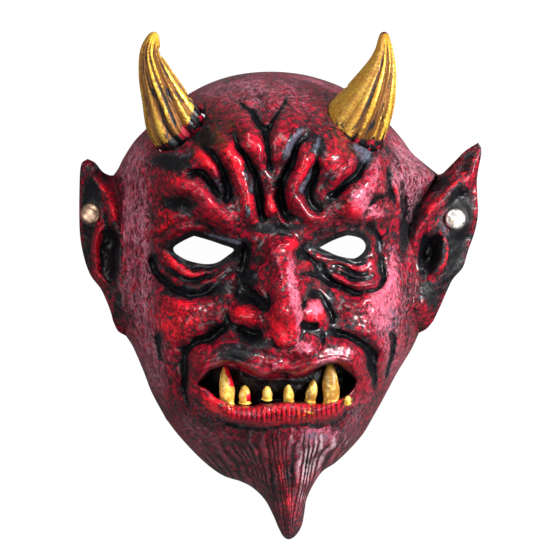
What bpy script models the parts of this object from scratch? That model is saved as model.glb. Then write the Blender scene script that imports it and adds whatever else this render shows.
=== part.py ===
"""Latex devil mask with two horns and two strap rivets, lying face up on its rim.

The face is drawn as the eye of a viewer straight above sees it, in units of a millimetre:
x to the right, y toward the crown. Heights over the floor are in the same units. UNIT turns
them into metres, so the face keeps its proportions when its height is changed.
"""

import bpy
import numpy as np

# Driving sizes, in metres.
FACE_HEIGHT = 0.2338
WALL = 0.0026
EYE_HOLE_LENGTH = 0.030
EYE_HOLE_HEIGHT = 0.014
RIVET_CAP_RADIUS = 0.0051
RIVET_CAP_HEIGHT = 0.0022
RIVET_SHANK_RADIUS = 0.0016
RIVET_BACK_RADIUS = 0.0040
RIVET_BACK_HEIGHT = 0.0012
RIVET_BORE_GAP = 0.0004
SEAT_GAP = 0.0004
RIVET_BACK_GAP = 0.0007
HORN_ROOT = 0.014

# The drawing: its own height from beard to crown, the viewer, and the middle of the whole mask.
DRAWN_HEIGHT = 233.8
UNIT = FACE_HEIGHT / DRAWN_HEIGHT
VIEW_DISTANCE = 850.0
SIGHT = (-2.75, 4.25)
MIDDLE = (-0.97, -4.6)

# Rows and columns of faces. All are even, because the inside has half as many.
COLUMNS = 44
CROWN_ROWS = 8
EAR_ROWS = 28
JAW_ROWS = 14
EAR_COLUMNS = 6
RIM_SHARE = 0.1
HORN_RINGS = 15
HORN_SIDES = 24
TOOTH_SIDES = 8
ROUND_SIDES = 16

# The edge of the face, from the top left round both sides to the chin. The ears grow from the
# two stretches called root, and the rest is free rim that rests on the floor.
CROWN = [(-65.5, 79.5), (-55, 88.8), (-44.5, 96), (-33, 101.5), (-20, 105), (-5, 106.2),
         (9.5, 105), (22, 101.8), (32, 97.6), (43, 90.5), (54.5, 79.5)]
LEFT_CROWN = [(-65.5, 79.5), (-73, 71.8), (-78.5, 63.5)]
LEFT_ROOT = [(-78.5, 63.5), (-79.8, 53), (-80, 42), (-79.5, 28), (-78.8, 12), (-78.3, -3),
             (-78, -15), (-77.5, -26)]
LEFT_JAW = [(-77.5, -26), (-74, -31.5), (-69, -43), (-64.5, -54.5), (-57.5, -67.5)]
RIGHT_CROWN = [(54.5, 79.5), (60.5, 72.5), (65.5, 65)]
RIGHT_ROOT = [(65.5, 65), (67.5, 54), (67.3, 44), (65.5, 34), (64.8, 25), (65.5, 16), (67.3, 8),
              (67.5, -1), (66.3, -9), (66.8, -16), (69, -24.5)]
RIGHT_JAW = [(69, -24.5), (65, -33), (58, -44.5), (50.8, -58), (45.5, -67.5)]
CHIN = [(-57.5, -67.5), (-50.5, -76.5), (-39.5, -88), (-29.5, -95.5), (-20, -98.8), (-14, -102),
        (-8, -108), (-4, -115.5), (-1, -122.5), (1.5, -126.6), (4.5, -127.6), (8, -125),
        (10.8, -119.5), (12, -110.5), (15, -102.5), (20.5, -94), (27, -89.5), (34, -83),
        (41, -75), (45.5, -67.5)]

# Each ear's free edges as x, y and height, and the height of the valley where it joins the head.
LEFT_EAR = {
    "top": [(-78.5, 63.5, 0), (-81, 57.5, 9), (-84, 54.4, 14), (-89, 56, 18), (-93, 61, 20),
            (-96.8, 62.6, 20)],
    "outer": [(-96.8, 62.6, 20), (-100, 59.5, 17), (-100.8, 48, 13), (-100.7, 27, 11),
              (-98.8, 14.5, 11), (-95.3, 4.5, 12), (-89.8, -3, 13), (-85.7, -12.5, 13),
              (-84, -18.5, 9)],
    "base": [(-77.5, -26, 0), (-81.6, -23.4, 4), (-84, -18.5, 9)],
    "root": LEFT_ROOT, "valley": 27.0, "rivet": (-95.1, 35.1), "lean": (0.30, 0.0),
}
RIGHT_EAR = {
    "top": [(65.5, 65, 0), (72.5, 58.2, 8), (79, 54.6, 13), (86.5, 61, 19), (92, 66.5, 23),
            (98.7, 70.8, 25)],
    "outer": [(98.7, 70.8, 25), (100.2, 66, 24), (98, 52, 20), (98.5, 36, 18), (97, 26.5, 17),
              (93.5, 16.5, 17), (91, 8.5, 17), (86, 2.5, 17), (83, -3.5, 16), (79.5, -11.5, 13),
              (76.2, -18.5, 8)],
    "base": [(69, -24.5, 0), (72.8, -22.4, 4), (76.2, -18.5, 8)],
    "root": RIGHT_ROOT, "valley": 25.0, "rivet": (87.0, 32.5), "lean": (-0.12, 0.0),
}
EARS = {"left": LEFT_EAR, "right": RIGHT_EAR}
RIVET_FLAT = 10.0
RIVET_BACK_FLAT = 16.0

# Eye holes about their own centres, in shares of the hole's length and height.
LEFT_EYE = {"centre": (-38.7, 17.0),
            "edge": [(-0.16, 0.5), (-0.31, 0.36), (-0.48, 0.14), (-0.5, 0), (-0.44, -0.16),
                     (-0.28, -0.36), (-0.08, -0.47), (0.09, -0.5), (0.24, -0.43), (0.39, -0.21),
                     (0.5, 0.02), (0.29, 0.2), (0.06, 0.37)]}
RIGHT_EYE = {"centre": (30.7, 18.4),
             "edge": [(-0.38, -0.01), (-0.19, 0.21), (-0.02, 0.35), (0.11, 0.41), (0.29, 0.32),
                      (0.38, 0.14), (0.38, -0.06), (0.31, -0.26), (0.21, -0.39), (0.09, -0.39),
                      (-0.09, -0.29), (-0.24, -0.15)]}
EYES = (LEFT_EYE, RIGHT_EYE)

# The even grid that the carving is smoothed on, and how far, in its steps.
FIELD_STEP = 1.0
FIELD_X = np.arange(-108, 109, FIELD_STEP)
FIELD_Y = np.arange(-134, 115, FIELD_STEP)
OUTSIDE_BLUR = 2.0
INSIDE_REACH = 6
INSIDE_BLUR = 3.0

MOUTH = [(-41, -50.3), (-39.5, -46), (-36, -41.5), (-31, -40), (-25, -40), (-18, -42.6),
         (-10, -45.4), (0, -45.8), (8, -45), (14, -42.8), (19, -39.4), (24, -37.8), (30, -39.3),
         (35.5, -43.5), (38, -48), (36.5, -51.5), (33.5, -56), (28, -58.7), (20, -59.2),
         (8, -59.4), (-4, -59.8), (-16, -60.6), (-25, -60.5), (-32, -57.5), (-37, -53)]
MOUTH_DEPTH = 11.0

# Teeth: x and y of the root, x and y of the point, and the widest radius.
TEETH = [(-27.6, -61, -27.2, -41.5, 4.2), (-18.2, -60.5, -18, -51, 3.1), (-7.4, -60, -7.2, -51.6, 2.5),
         (3.6, -60.5, 3.6, -50.5, 2.9), (14.6, -60.5, 15.8, -48.4, 2.9), (24.8, -61, 24.6, -39, 4.3)]

# Horns: x, y and height of the middle, and the radius there, from the root inside to the point.
LEFT_HORN = [(-44.5, 68.5, 40, 12.5), (-49, 75, 45, 14), (-53.5, 81.5, 50, 14.8), (-59, 94.5, 56, 11.2),
             (-63, 105, 60, 8.4), (-65.3, 114.5, 61, 5.6), (-64.4, 121, 60, 4.0), (-62.8, 126, 58, 1.8)]
RIGHT_HORN = [(30.5, 66.5, 40, 13.5), (34, 73.5, 45, 15.6), (38, 80.5, 50, 16.6), (44.4, 93, 56, 13.2),
              (49.6, 106.5, 60, 8.4), (51.4, 115.5, 61, 5.0), (51.6, 122, 60, 3.2), (51.4, 126, 58, 1.7)]
HORN_FLUTES = 12
FLUTE_DEPTH = 0.07

# The middle line of the face from the beard's point to the crown, as y and height.
PROFILE = [(-135, 8), (-127, 12), (-118, 17), (-108, 24), (-97, 34), (-85, 46), (-72, 56), (-58, 62),
           (-40, 65), (-20, 66), (0, 67), (15, 67), (30, 72), (50, 77), (70, 76), (90, 72), (115, 66)]

# Carved lines: height (minus for a groove), width, and the path as x, y and relative size.
FOREHEAD = [
    (4.6, 4.4, [(-27, 86, .9), (-18, 79, 1.15), (-12.3, 71, 1.1), (-9.3, 64, .9), (-7, 56, .6)]),
    (4.8, 4.2, [(-33, 75, .8), (-27, 67.5, 1.1), (-22, 58.5, 1.1), (-18.3, 50, 1), (-16, 42, 1),
                (-16.5, 35, 1.1), (-19.5, 28, 1)]),
    (4.2, 3.5, [(-45, 65.5, .8), (-40, 63.5, 1.1), (-36, 58.8, 1.1), (-32.5, 54, .9), (-29.5, 49.5, .6)]),
    (2.6, 2.2, [(-53, 57.5, .6), (-46.5, 59, 1), (-39, 58.3, .9)]),
    (-4.2, 2.4, [(-23, 95, .6), (-16.5, 88.8, 1), (-11.5, 82.5, 1), (-8, 75.5, 1), (-5.3, 68, 1),
                 (-3.6, 60, 1.1), (-3, 51, 1.2)]),
    (-3.4, 2.0, [(4, 95, .6), (-1, 87.3, 1), (-4.5, 80, 1), (-7.3, 73.5, .8)]),
    (2.4, 3.4, [(-5.5, 96, .8), (-5, 89.5, 1.1), (-6.3, 83, .8), (-7.6, 77.5, .5)]),
    (-4.4, 2.3, [(-26, 77.5, .7), (-20.3, 68.5, 1), (-15.7, 60, 1.2), (-12.3, 52, 1.4), (-11, 44, 1.5),
                 (-10.6, 36, 1.6), (-11.5, 28, 1.3)]),
    (-4.4, 2.4, [(-42, 70, .6), (-34.5, 65, .9), (-30.3, 58.5, 1.1), (-28, 51, 1.2), (-27, 44, 1.2),
                 (-27.5, 37.5, .9)]),
    (-4.0, 2.1, [(-50, 55.5, .6), (-42.5, 54.8, 1), (-37, 51.5, 1.1), (-33, 47, 1.1), (-30, 41.5, 1)]),
    (3.8, 2.3, [(-3.1, 50, .6), (-3.9, 44.5, 1), (-5.3, 39, 1.2), (-6, 33, 1)]),
    (2.6, 1.3, [(-3, 44, .6), (-1.2, 38.5, 1), (.8, 33.5, 1), (3.8, 28, .8)]),
    (3.6, 4.2, [(9, 90, .8), (3.4, 82, 1.1), (.2, 73.5, 1.1), (-1, 65, .9), (-1, 58, .6)]),
    (2.2, 1.9, [(14.5, 80.5, .7), (8.3, 76, 1), (4.8, 70.5, 1), (2.4, 64.5, .9), (.6, 59, .5)]),
    (-4.6, 2.4, [(16.5, 79, .5), (12.3, 73, .9), (8.4, 67, 1), (5, 60.5, 1.1), (2.2, 54, 1.3),
                 (.8, 47, 1.5), (1.6, 40, 1.6), (5.2, 34, 1.5), (10, 29.5, 1)]),
    (4.8, 3.9, [(16, 74.5, .7), (13, 67, 1), (9.8, 59.8, 1.1), (7.3, 52.5, 1.1), (7.1, 45.5, 1.1),
                (9.8, 38.8, 1.1), (14.5, 34, 1), (21, 30.8, 1), (29, 28, .8)]),
    (-4.4, 2.2, [(18.3, 69, .6), (17.4, 60, 1), (15.4, 52, 1.1), (13.9, 46, 1.3), (14.7, 40.3, 1.4),
                 (18.7, 36, 1.1), (25, 34, .5)]),
    (2.6, 2.3, [(45, 70, .8), (38.7, 63.3, 1), (34.6, 56.8, 1), (29, 52, 1), (21.5, 50.3, .7)]),
    (-4.6, 1.9, [(48, 68, .5), (41.3, 61.8, 1), (36.8, 54.8, 1.1), (31.6, 48.8, 1.2), (25.6, 45.3, 1.1),
                 (18.5, 44.5, .8)]),
]
BROWS = [
    (4.8, 4.2, [(-62, 52, .7), (-54, 51, .8), (-46.5, 48.8, 1), (-40.5, 44, 1.1), (-35.5, 38.8, 1.1),
                (-30.5, 34, 1.1), (-24.5, 29.5, 1.1), (-17, 26.5, .8)]),
    (5.0, 5.2, [(53, 69, .7), (49.3, 59.5, 1), (45.5, 51, 1.1), (40.5, 43.5, 1.1), (36, 37, 1),
                (30.5, 31, .9)]),
    (-3.8, 1.7, [(53, 44.5, .5), (46.8, 41.7, 1), (42.2, 37.7, 1), (38.3, 32.6, .8)]),
    (-2.4, 1.7, [(55, 64, .6), (54.8, 53, 1), (54.3, 45, .9), (56.3, 36, .6)]),
    (1.9, 1.3, [(39, 30.5, .7), (43.5, 32.7, 1), (48, 33, 1), (52, 30.5, .6)]),
    (-3.0, 1.8, [(41, 31, .6), (45.3, 27.5, 1), (49, 22.5, 1), (49.8, 14, .8)]),
    (2.2, 1.5, [(56, 55, .6), (57.6, 47, 1), (58.4, 38.5, 1), (59, 30, .9), (60, 20, .6)]),
    (2.4, 1.6, [(-63, 38, .6), (-58.3, 34, 1), (-52, 32.5, 1), (-44, 32.5, .6)]),
]
LIDS = [
    (2.8, 1.5, [(-58.4, 21, .7), (-57.7, 15.3, 1.1), (-54.3, 10.7, 1.3), (-49.8, 7.2, 1.2), (-44, 5.1, 1),
                (-38, 5.5, .9), (-31.5, 7.7, .8), (-24, 11, .6)]),
    (2.0, 1.4, [(-61.5, 15, .6), (-58.7, 7.8, 1), (-54, 2.8, 1), (-48, 0, 1), (-42, -.8, 1), (-36, .9, 1),
                (-30.3, 4.2, .9), (-24, 7, .5)]),
    (-4.4, 2.4, [(-65, 23, .5), (-64, 13, .8), (-61.3, 5, 1), (-56.3, -1.3, 1.2), (-49, -4.8, 1.3),
                 (-41, -5, 1.3), (-34, -2.5, 1.1), (-28, 1, .8)]),
    (2.8, 1.6, [(11.5, 19, .7), (17, 16, 1), (23, 12.2, 1.1), (30, 9.2, 1.2), (37, 8, 1.2), (43, 9.6, 1.1),
                (46.6, 13.6, 1), (47.3, 19, .7)]),
    (2.8, 1.8, [(20, 8, .6), (28, 3.1, .9), (35, .7, 1.1), (41.5, .5, 1.2), (46.7, 4, 1.1),
                (49.3, 10.5, .8)]),
    (-3.4, 1.8, [(18, 11, .5), (20.3, 6.3, .8), (26, .8, 1), (33, -3, 1.1), (40, -4.8, 1.2), (47, -2.3, 1.2),
                 (50.7, 4, 1.1), (51.2, 11, .9), (50.5, 20, .7)]),
]
NOSE = [
    (17.0, 9.0, [(-2, 30, .3), (-.5, 20, .5), (2, 10, .75), (2.6, 0, .95), (2.6, -9, 1.05),
                 (2.6, -18, 1.1), (2.6, -28, 1)]),
    (-4.0, 3.0, [(-17, 24, .6), (-18, 14, 1), (-19, 5, 1), (-23, 0, .8)]),
    (2.4, 1.6, [(-29, -2, .6), (-24.5, 2, 1), (-18.3, 2.5, 1), (-13.2, 0, 1), (-10.3, -5, 1), (-9.6, -11, .7)]),
    (-4.4, 2.0, [(-28, -10, .6), (-26.3, -17, 1), (-20, -22.6, 1), (-12.5, -24, 1), (-7.5, -28, 1),
                 (-3, -33, .9), (4, -34.3, .8), (11, -31, .6)]),
    (-4.4, 1.6, [(9.5, -4.5, .7), (14, -4.8, 1), (19.3, -5.2, 1), (23.8, -9.3, 1), (25.2, -15, 1),
                 (23, -21, .8)]),
    (-5.0, 1.5, [(9.5, -3, .6), (11.2, -9, 1), (12, -15, 1), (12.6, -20, 1), (11.3, -27, .6)]),
    (-2.8, 1.1, [(20, -21, .6), (20.7, -28, 1), (17.2, -34, 1), (11.7, -38, 1), (4, -40.3, .7)]),
]
CHEEKS = [
    (-7.0, 3.2, [(-26.5, -14, .5), (-28.5, -20, .8), (-34.5, -25, 1), (-41.5, -31, 1.1), (-46.8, -37, 1.1),
                 (-48.2, -46, 1), (-47.5, -57, .8), (-44, -68, .5)]),
    (-6.5, 2.6, [(23.5, -20, .6), (28.5, -24.3, .9), (35, -27.8, 1), (41.6, -32, 1.1), (45.5, -40, 1.1),
                 (46, -49, .9), (44, -60, .6)]),
    (2.6, 2.6, [(41, -20, .7), (47.7, -28, 1), (50.5, -38, 1), (50, -50, .7)]),
    (-4.2, 1.6, [(55, -20, .6), (55.7, -28, 1), (55, -36, 1.1), (52.7, -44, .9), (49, -52, .5)]),
    (-4.0, 2.6, [(-61, -21, .6), (-62, -28, 1), (-60.5, -35, .9), (-57.5, -42, .5)]),
]
LIPS = [
    (5.2, 5.4, [(-45, -48, .7), (-41.7, -38.5, 1), (-33.5, -33.3, 1.1), (-24, -32.8, 1.1), (-15, -36, 1),
                (-7, -41, .7)]),
    (4.6, 4.4, [(3, -41.5, .6), (12, -38, .9), (20, -33, 1), (29, -31.5, 1), (37.3, -36, 1),
                (42.3, -44.5, .8), (43, -54, .5)]),
    (4.6, 3.3, [(-40, -52.5, .5), (-33.5, -59.7, .8), (-26, -64, 1), (-16, -65.2, 1.05), (-4, -64.9, 1.05),
                (8, -64.7, 1.05), (18, -64, 1), (26.5, -61.3, .9), (32.6, -56.3, .7), (37, -49, .5)]),
    (-3.2, 1.9, [(-38, -60, .5), (-31.5, -66.7, .8), (-23, -70.7, 1), (-12, -71.3, 1), (0, -70.6, 1),
                 (12, -70.3, 1), (22, -70, 1), (31, -66, .8), (36, -59, .5)]),
    (2.6, 2.4, [(-2.3, -86, .6), (.6, -97, 1), (3, -108, 1), (4.2, -120, .8)]),
    (2.2, 2.2, [(10, -84, .6), (9.8, -95, 1), (8.2, -106, 1), (6.3, -118, .7)]),
]
EAR_FOLDS = [
    (3.6, 1.9, [(-96.3, 61.5, .9), (-94.5, 55, 1.1), (-92.8, 50.3, 1.1), (-89.3, 47, 1), (-86, 42.5, 1),
                (-83.6, 36.5, 1), (-82, 29, 1), (-80.2, 21, .9), (-79.3, 13, .7)]),
    (3.2, 1.5, [(-87, 32, .6), (-90, 28.5, 1), (-92.3, 24, 1), (-92.7, 16, 1), (-91.2, 7.5, 1), (-87, 1, 1),
                (-80, -4, .7)]),
    (4.0, 2.4, [(98.5, 69, .8), (97, 62, 1), (94, 53, 1.1), (86.5, 47.6, 1.1), (78.5, 41, 1.1), (73, 35, 1),
                (69.5, 28, 1), (66.5, 19, .9), (66, 9, .6)]),
    (3.0, 1.6, [(76, 26, .6), (80.5, 24.3, 1), (82.6, 20.5, 1), (82.8, 15, 1), (81, 9.5, 1), (77, 5.2, 1),
                (72, .5, .7)]),
]
STROKES = FOREHEAD + BROWS + LIDS + NOSE + CHEEKS + LIPS + EAR_FOLDS

# Rounded swellings and hollows: height, x, y, two radii, turn in degrees, and how flat the top is.
MOUNDS = [
    (3.0, -24, 78, 22, 17, -25, 2), (3.0, 22, 80, 20, 16, 20, 2), (-5.0, -3, 38, 12, 15, 0, 2),
    (-3.5, -37, 76, 7, 8, 0, 2), (4.6, 28, 61.5, 9.5, 10.5, 0, 2.5), (3.0, 47.5, 36.5, 6.5, 4.5, 0, 2.5),
    (-3.8, -52, 40, 9.5, 5.5, -5, 2), (-3.0, 22, 41, 6, 4.5, 20, 2),
    (-13.0, -41, 13, 25, 16, 0, 2.6), (6.0, -39.5, 17, 17, 9.5, -8, 2.5),
    (-13.0, 32, 13.5, 21, 15, 0, 2.6), (6.0, 32.5, 17.5, 14.5, 8.5, 5, 2.5),
    (9.0, 2.6, -22, 9.5, 9.5, 0, 2.6), (9.5, -17, -14.7, 7.3, 5.9, 0, 2.6),
    (9.0, 17.2, -13.5, 6.2, 6.6, 0, 2.8), (-4.5, -18, -4.5, 6.5, 4.6, -20, 2.2),
    (4.4, 12, -32, 7.5, 4.6, 32, 2.4), (7.0, -54, -14, 17, 14, 0, 2), (8.0, 49, -12, 13, 14, 0, 2),
    (12.0, -1, -45, 46, 25, 0, 2.4), (4.6, 4, -78, 27, 8.5, 0, 2.2),
    (-7.0, -85.3, 14, 4.6, 16, 0, 3), (-8.0, 74.5, 15, 6.4, 10.5, -18, 3), (2.4, 71, -13, 4.5, 8, 0, 2),
]


def smooth_path(points, steps):
    """Points along the Catmull-Rom curve through the given ones."""
    p = np.asarray(points, float)
    padded = np.vstack([2 * p[0] - p[1], p, 2 * p[-1] - p[-2]])
    t = np.linspace(0, 1, steps, endpoint=False)[:, None]
    parts = []
    for k in range(len(p) - 1):
        a, b, c, d = padded[k : k + 4]
        parts.append(0.5 * (2 * b + (c - a) * t + (2 * a - 5 * b + 4 * c - d) * t**2
                            + (3 * b - a - 3 * c + d) * t**3))
    return np.vstack(parts + [p[-1:]])


def even(points, count):
    """count + 1 points at equal steps along the curve through the given ones."""
    line = smooth_path(points, 12)
    steps = np.linalg.norm(np.diff(line[:, :2], axis=0), axis=1)
    length = np.concatenate([[0], np.cumsum(steps)])
    at = np.linspace(0, length[-1], count + 1)
    return np.column_stack([np.interp(at, length, column) for column in line.T])


def smoothstep(t):
    """Rises from 0 to 1 as t does, with level ends."""
    t = np.clip(t, 0, 1)
    return t * t * (3 - 2 * t)


def near_ends(t):
    """Even steps from 0 to 1 that shorten toward both ends, for the steep wall at the rim."""
    e = RIM_SHARE
    low = t**2 / (2 * e)
    high = 1 - e - (1 - t) ** 2 / (2 * e)
    return np.where(t < e, low, np.where(t > 1 - e, high, t - e / 2)) / (1 - e)


def to_line(x, y, line, closed=False):
    """Distance to a line of points, and the share of the line passed at the nearest one."""
    a = line[:, :2] if closed else line[:-1, :2]
    b = np.roll(line[:, :2], -1, axis=0) if closed else line[1:, :2]
    d = b - a
    size = np.maximum((d**2).sum(axis=1), 1e-12)
    px = x[:, None] - a[:, 0]
    py = y[:, None] - a[:, 1]
    t = np.clip((px * d[:, 0] + py * d[:, 1]) / size, 0, 1)
    square = (px - t * d[:, 0]) ** 2 + (py - t * d[:, 1]) ** 2
    best = square.argmin(axis=1)
    rows = np.arange(len(x))
    return np.sqrt(square[rows, best]), (best + t[rows, best]) / len(a)


def inside(x, y, shape):
    """Whether each point lies inside a closed outline, by counting the edges it passes."""
    p = np.asarray(shape, float)
    count = np.zeros(len(x), int)
    for (ax, ay), (bx, by) in zip(p, np.roll(p, -1, axis=0)):
        if ay != by:
            count += ((ay > y) != (by > y)) & (x < (bx - ax) * (y - ay) / (by - ay) + ax)
    return count % 2 == 1


def stroke(x, y, height, width, path):
    """A carved line's height: a rounded section along its path, fading at both ends."""
    line = smooth_path(path, 5)
    reach = 2.6 * width * line[:, 2].max()
    low = line[:, :2].min(axis=0) - reach
    high = line[:, :2].max(axis=0) + reach
    near = (x > low[0]) & (x < high[0]) & (y > low[1]) & (y < high[1])
    out = np.zeros(len(x))
    if near.any():
        far, share = to_line(x[near], y[near], line)
        size = np.interp(share, np.linspace(0, 1, len(line)), line[:, 2])
        ends = smoothstep(share / 0.22) * smoothstep((1 - share) / 0.22)
        out[near] = height * size * ends * np.exp(-((far / (width * size)) ** 2))
    return out


def mound(x, y, height, cx, cy, rx, ry, turn, power):
    """A rounded swelling or hollow on an oval base."""
    c, s = np.cos(np.radians(turn)), np.sin(np.radians(turn))
    u = (c * (x - cx) + s * (y - cy)) / rx
    v = (c * (y - cy) - s * (x - cx)) / ry
    return height * np.exp(-((u * u + v * v) ** (power / 2)))


def relief(x, y):
    """All the carving on the face and ears, as height over the plain form."""
    total = sum(stroke(x, y, *row) for row in STROKES) + sum(mound(x, y, *row) for row in MOUNDS)
    edge = np.array(MOUTH, float)
    depth = np.where(inside(x, y, edge), 1, -1) * to_line(x, y, edge, closed=True)[0]
    return total - MOUTH_DEPTH * smoothstep((depth + 0.6) / 2.2)


def blur(field, spread):
    """The field smoothed by a bell of the given spread, in steps of the field."""
    reach = int(3 * spread) + 1
    kernel = np.exp(-0.5 * (np.arange(-reach, reach + 1) / spread) ** 2)
    kernel /= kernel.sum()
    for axis in (0, 1):
        field = sum(w * np.roll(field, k - reach, axis=axis) for k, w in enumerate(kernel))
    return field


def carved_fields():
    """The carving on an even grid: as the outside shows it at this mesh's fineness, and as the
    inside does, which follows the lowest height nearby so that the wall is never thin."""
    gx, gy = np.meshgrid(FIELD_X, FIELD_Y)
    field = relief(gx.ravel(), gy.ravel()).reshape(gx.shape)
    low = field.copy()
    for axis in (0, 1):
        low = np.min([np.roll(low, k, axis=axis) for k in range(-INSIDE_REACH, INSIDE_REACH + 1)], axis=0)
    return blur(field, OUTSIDE_BLUR), blur(low, INSIDE_BLUR)


def sample(field, x, y):
    """The field's value between its grid points."""
    fx = np.clip((x - FIELD_X[0]) / FIELD_STEP, 0, len(FIELD_X) - 2)
    fy = np.clip((y - FIELD_Y[0]) / FIELD_STEP, 0, len(FIELD_Y) - 2)
    i, j = fy.astype(int), fx.astype(int)
    u, v = fx - j, fy - i
    top = field[i, j] * (1 - u) + field[i, j + 1] * u
    bottom = field[i + 1, j] * (1 - u) + field[i + 1, j + 1] * u
    return top * (1 - v) + bottom * v


def head_edge():
    """The closed edge of the face."""
    sides = [CROWN, RIGHT_CROWN, RIGHT_ROOT, RIGHT_JAW, CHIN[::-1], LEFT_JAW[::-1], LEFT_ROOT[::-1],
             LEFT_CROWN[::-1]]
    return np.vstack([even(side, 8 * len(side))[:-1] for side in sides])


def ear_window(y):
    """1 beside the ears and 0 along the free rim."""
    return smoothstep((64 - y) / 22) * smoothstep((y + 27) / 16)


def ear_floor(y, name):
    """Height of the valley between ear and head."""
    return EARS[name]["valley"] * ear_window(y)


def head_base(x, y, ring):
    """Plain form of the head, and how much of the carving each point takes."""
    far = to_line(x, y, ring, closed=True)[0]
    far[~inside(x, y, ring)] = 0
    line = smooth_path(PROFILE, 12)
    top = np.interp(y, line[:, 0], line[:, 1])
    top *= 1 - 0.28 * np.abs((x + 4) / 72).clip(0, 1.3) ** 2.6
    reach = 25 + 14 * smoothstep((y - 45) / 45) - 13 * smoothstep((-80 - y) / 25)
    t = np.clip(far / reach, 0, 1)
    window = ear_window(y)
    roll = np.sqrt(1 - (1 - t) ** 2) * (1 - window) + (0.35 * t + 0.65 * smoothstep(t)) * window
    floor = np.where(x < -4, ear_floor(y, "left"), ear_floor(y, "right"))
    floor = floor * smoothstep((np.abs(x + 4) - 20) / 30)
    share = smoothstep(far / 9) * (1 - window) + window
    return floor + (top - floor) * roll, share


def coons(top, bottom, left, right, across, down):
    """A grid of points between four edges, with blends across and down."""
    g = across[None, :, None]
    f = down[:, None, None]
    corners = ((1 - g) * (1 - f) * top[0] + g * (1 - f) * top[-1]
               + (1 - g) * f * bottom[0] + g * f * bottom[-1])
    return (1 - f) * top[None] + f * bottom[None] + (1 - g) * left[:, None] + g * right[:, None] - corners


def head_points():
    """Drawn points of the head, in rows from the crown to the chin."""
    sides = []
    for crown, root, jaw in ((LEFT_CROWN, LEFT_ROOT, LEFT_JAW), (RIGHT_CROWN, RIGHT_ROOT, RIGHT_JAW)):
        sides.append(np.vstack([even(crown, CROWN_ROWS)[:-1], even(root, EAR_ROWS)[:-1],
                                even(jaw, JAW_ROWS)]))
    rows = CROWN_ROWS + EAR_ROWS + JAW_ROWS
    across = near_ends(np.linspace(0, 1, COLUMNS + 1))
    down = near_ends(np.linspace(0, 1, rows + 1))
    return coons(even(CROWN, COLUMNS), even(CHIN, COLUMNS), sides[0], sides[1], across, down)


def ear_points(name):
    """Drawn points and plain heights of an ear, in rows from its tip to its lobe."""
    ear = EARS[name]
    root = even(ear["root"], EAR_ROWS)
    root = np.column_stack([root, ear_floor(root[:, 1], name)])
    across = np.linspace(0, 1, EAR_COLUMNS + 1)
    down = np.linspace(0, 1, EAR_ROWS + 1)
    return coons(even(ear["top"], EAR_COLUMNS), even(ear["base"], EAR_COLUMNS), root,
                 even(ear["outer"], EAR_ROWS), across, down)


def rivet_seat(name):
    """Height of the ear's flat spot at its rivet."""
    grid = ear_points(name).reshape(-1, 3)
    x, y = EARS[name]["rivet"]
    far = np.hypot(grid[:, 0] - x, grid[:, 1] - y)
    weight = np.exp(-((far / 4) ** 2))
    return float((grid[:, 2] * weight).sum() / weight.sum()) + 1.0


def flatten(points, name, reach):
    """Ear points with a level spot under the rivet's caps."""
    x, y = EARS[name]["rivet"]
    lean = EARS[name]["lean"]
    plane = rivet_seat(name) + lean[0] * (points[..., 0] - x) + lean[1] * (points[..., 1] - y)
    far = np.hypot(points[..., 0] - x, points[..., 1] - y)
    flat = 1 - smoothstep((far - reach) / 3)
    points[..., 2] += (plane - points[..., 2]) * flat
    return points


def sheets():
    """The mask's outside and its smoother inside form, as grids for the head and both ears."""
    ring = head_edge()
    carved, low = carved_fields()
    grids = {"head": head_points(), "left": ear_points("left"), "right": ear_points("right")}
    outside, hidden = {}, {}
    for name, grid in grids.items():
        x, y = grid[..., 0].ravel(), grid[..., 1].ravel()
        if name == "head":
            base, share = head_base(x, y, ring)
        else:
            base = grid[..., 2].ravel()
            window = ear_window(np.repeat(grid[:, :1, 1], EAR_COLUMNS + 1, axis=1).ravel())
            off = np.tile(np.linspace(0, 1, EAR_COLUMNS + 1), EAR_ROWS + 1)
            share = window + (1 - window) * smoothstep(2 * off)
        for store, carving, reach in ((outside, sample(carved, x, y), RIVET_FLAT),
                                      (hidden, sample(low, x, y), RIVET_BACK_FLAT)):
            points = np.column_stack([x, y, base + carving * share]).reshape(grid.shape[:2] + (3,))
            store[name] = points if name == "head" else flatten(points, name, reach)
    for store in (outside, hidden):
        first, last = CROWN_ROWS, CROWN_ROWS + EAR_ROWS
        store["left"][:, 0] = store["head"][first : last + 1, 0]
        store["right"][:, 0] = store["head"][first : last + 1, -1]
        free = np.ones(len(store["head"]), bool)
        free[first + 1 : last] = False
        for column in (0, -1):
            store["head"][free, column, 2] = 0
        store["head"][[0, -1], :, 2] = 0
    return outside, hidden


def real(points):
    """Drawn points and heights as they really lie, allowing for the viewer's distance."""
    points = np.asarray(points, float)
    nearer = 1 - points[..., 2:3] / VIEW_DISTANCE
    flat = np.array(SIGHT) + (points[..., :2] - SIGHT) * nearer - MIDDLE
    return np.concatenate([flat, points[..., 2:3]], axis=-1)


def number(grids):
    """An index for each grid point, with the ears' first columns taken from the head."""
    head = np.arange(grids["head"].shape[0] * grids["head"].shape[1]).reshape(grids["head"].shape[:2])
    index = {"head": head}
    used = head.size
    step = 1 if grids["left"].shape[0] == EAR_ROWS + 1 else 2
    first, last = CROWN_ROWS // step, (CROWN_ROWS + EAR_ROWS) // step
    for name, column in (("left", 0), ("right", -1)):
        rows, columns = grids[name].shape[:2]
        own = used + np.arange(rows * (columns - 1)).reshape(rows, columns - 1)
        used += own.size
        index[name] = np.column_stack([head[first : last + 1, column], own])
    points = np.empty((used, 3))
    for name in ("left", "right", "head"):
        points[index[name].ravel()] = grids[name].reshape(-1, 3)
    return points, index


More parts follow.
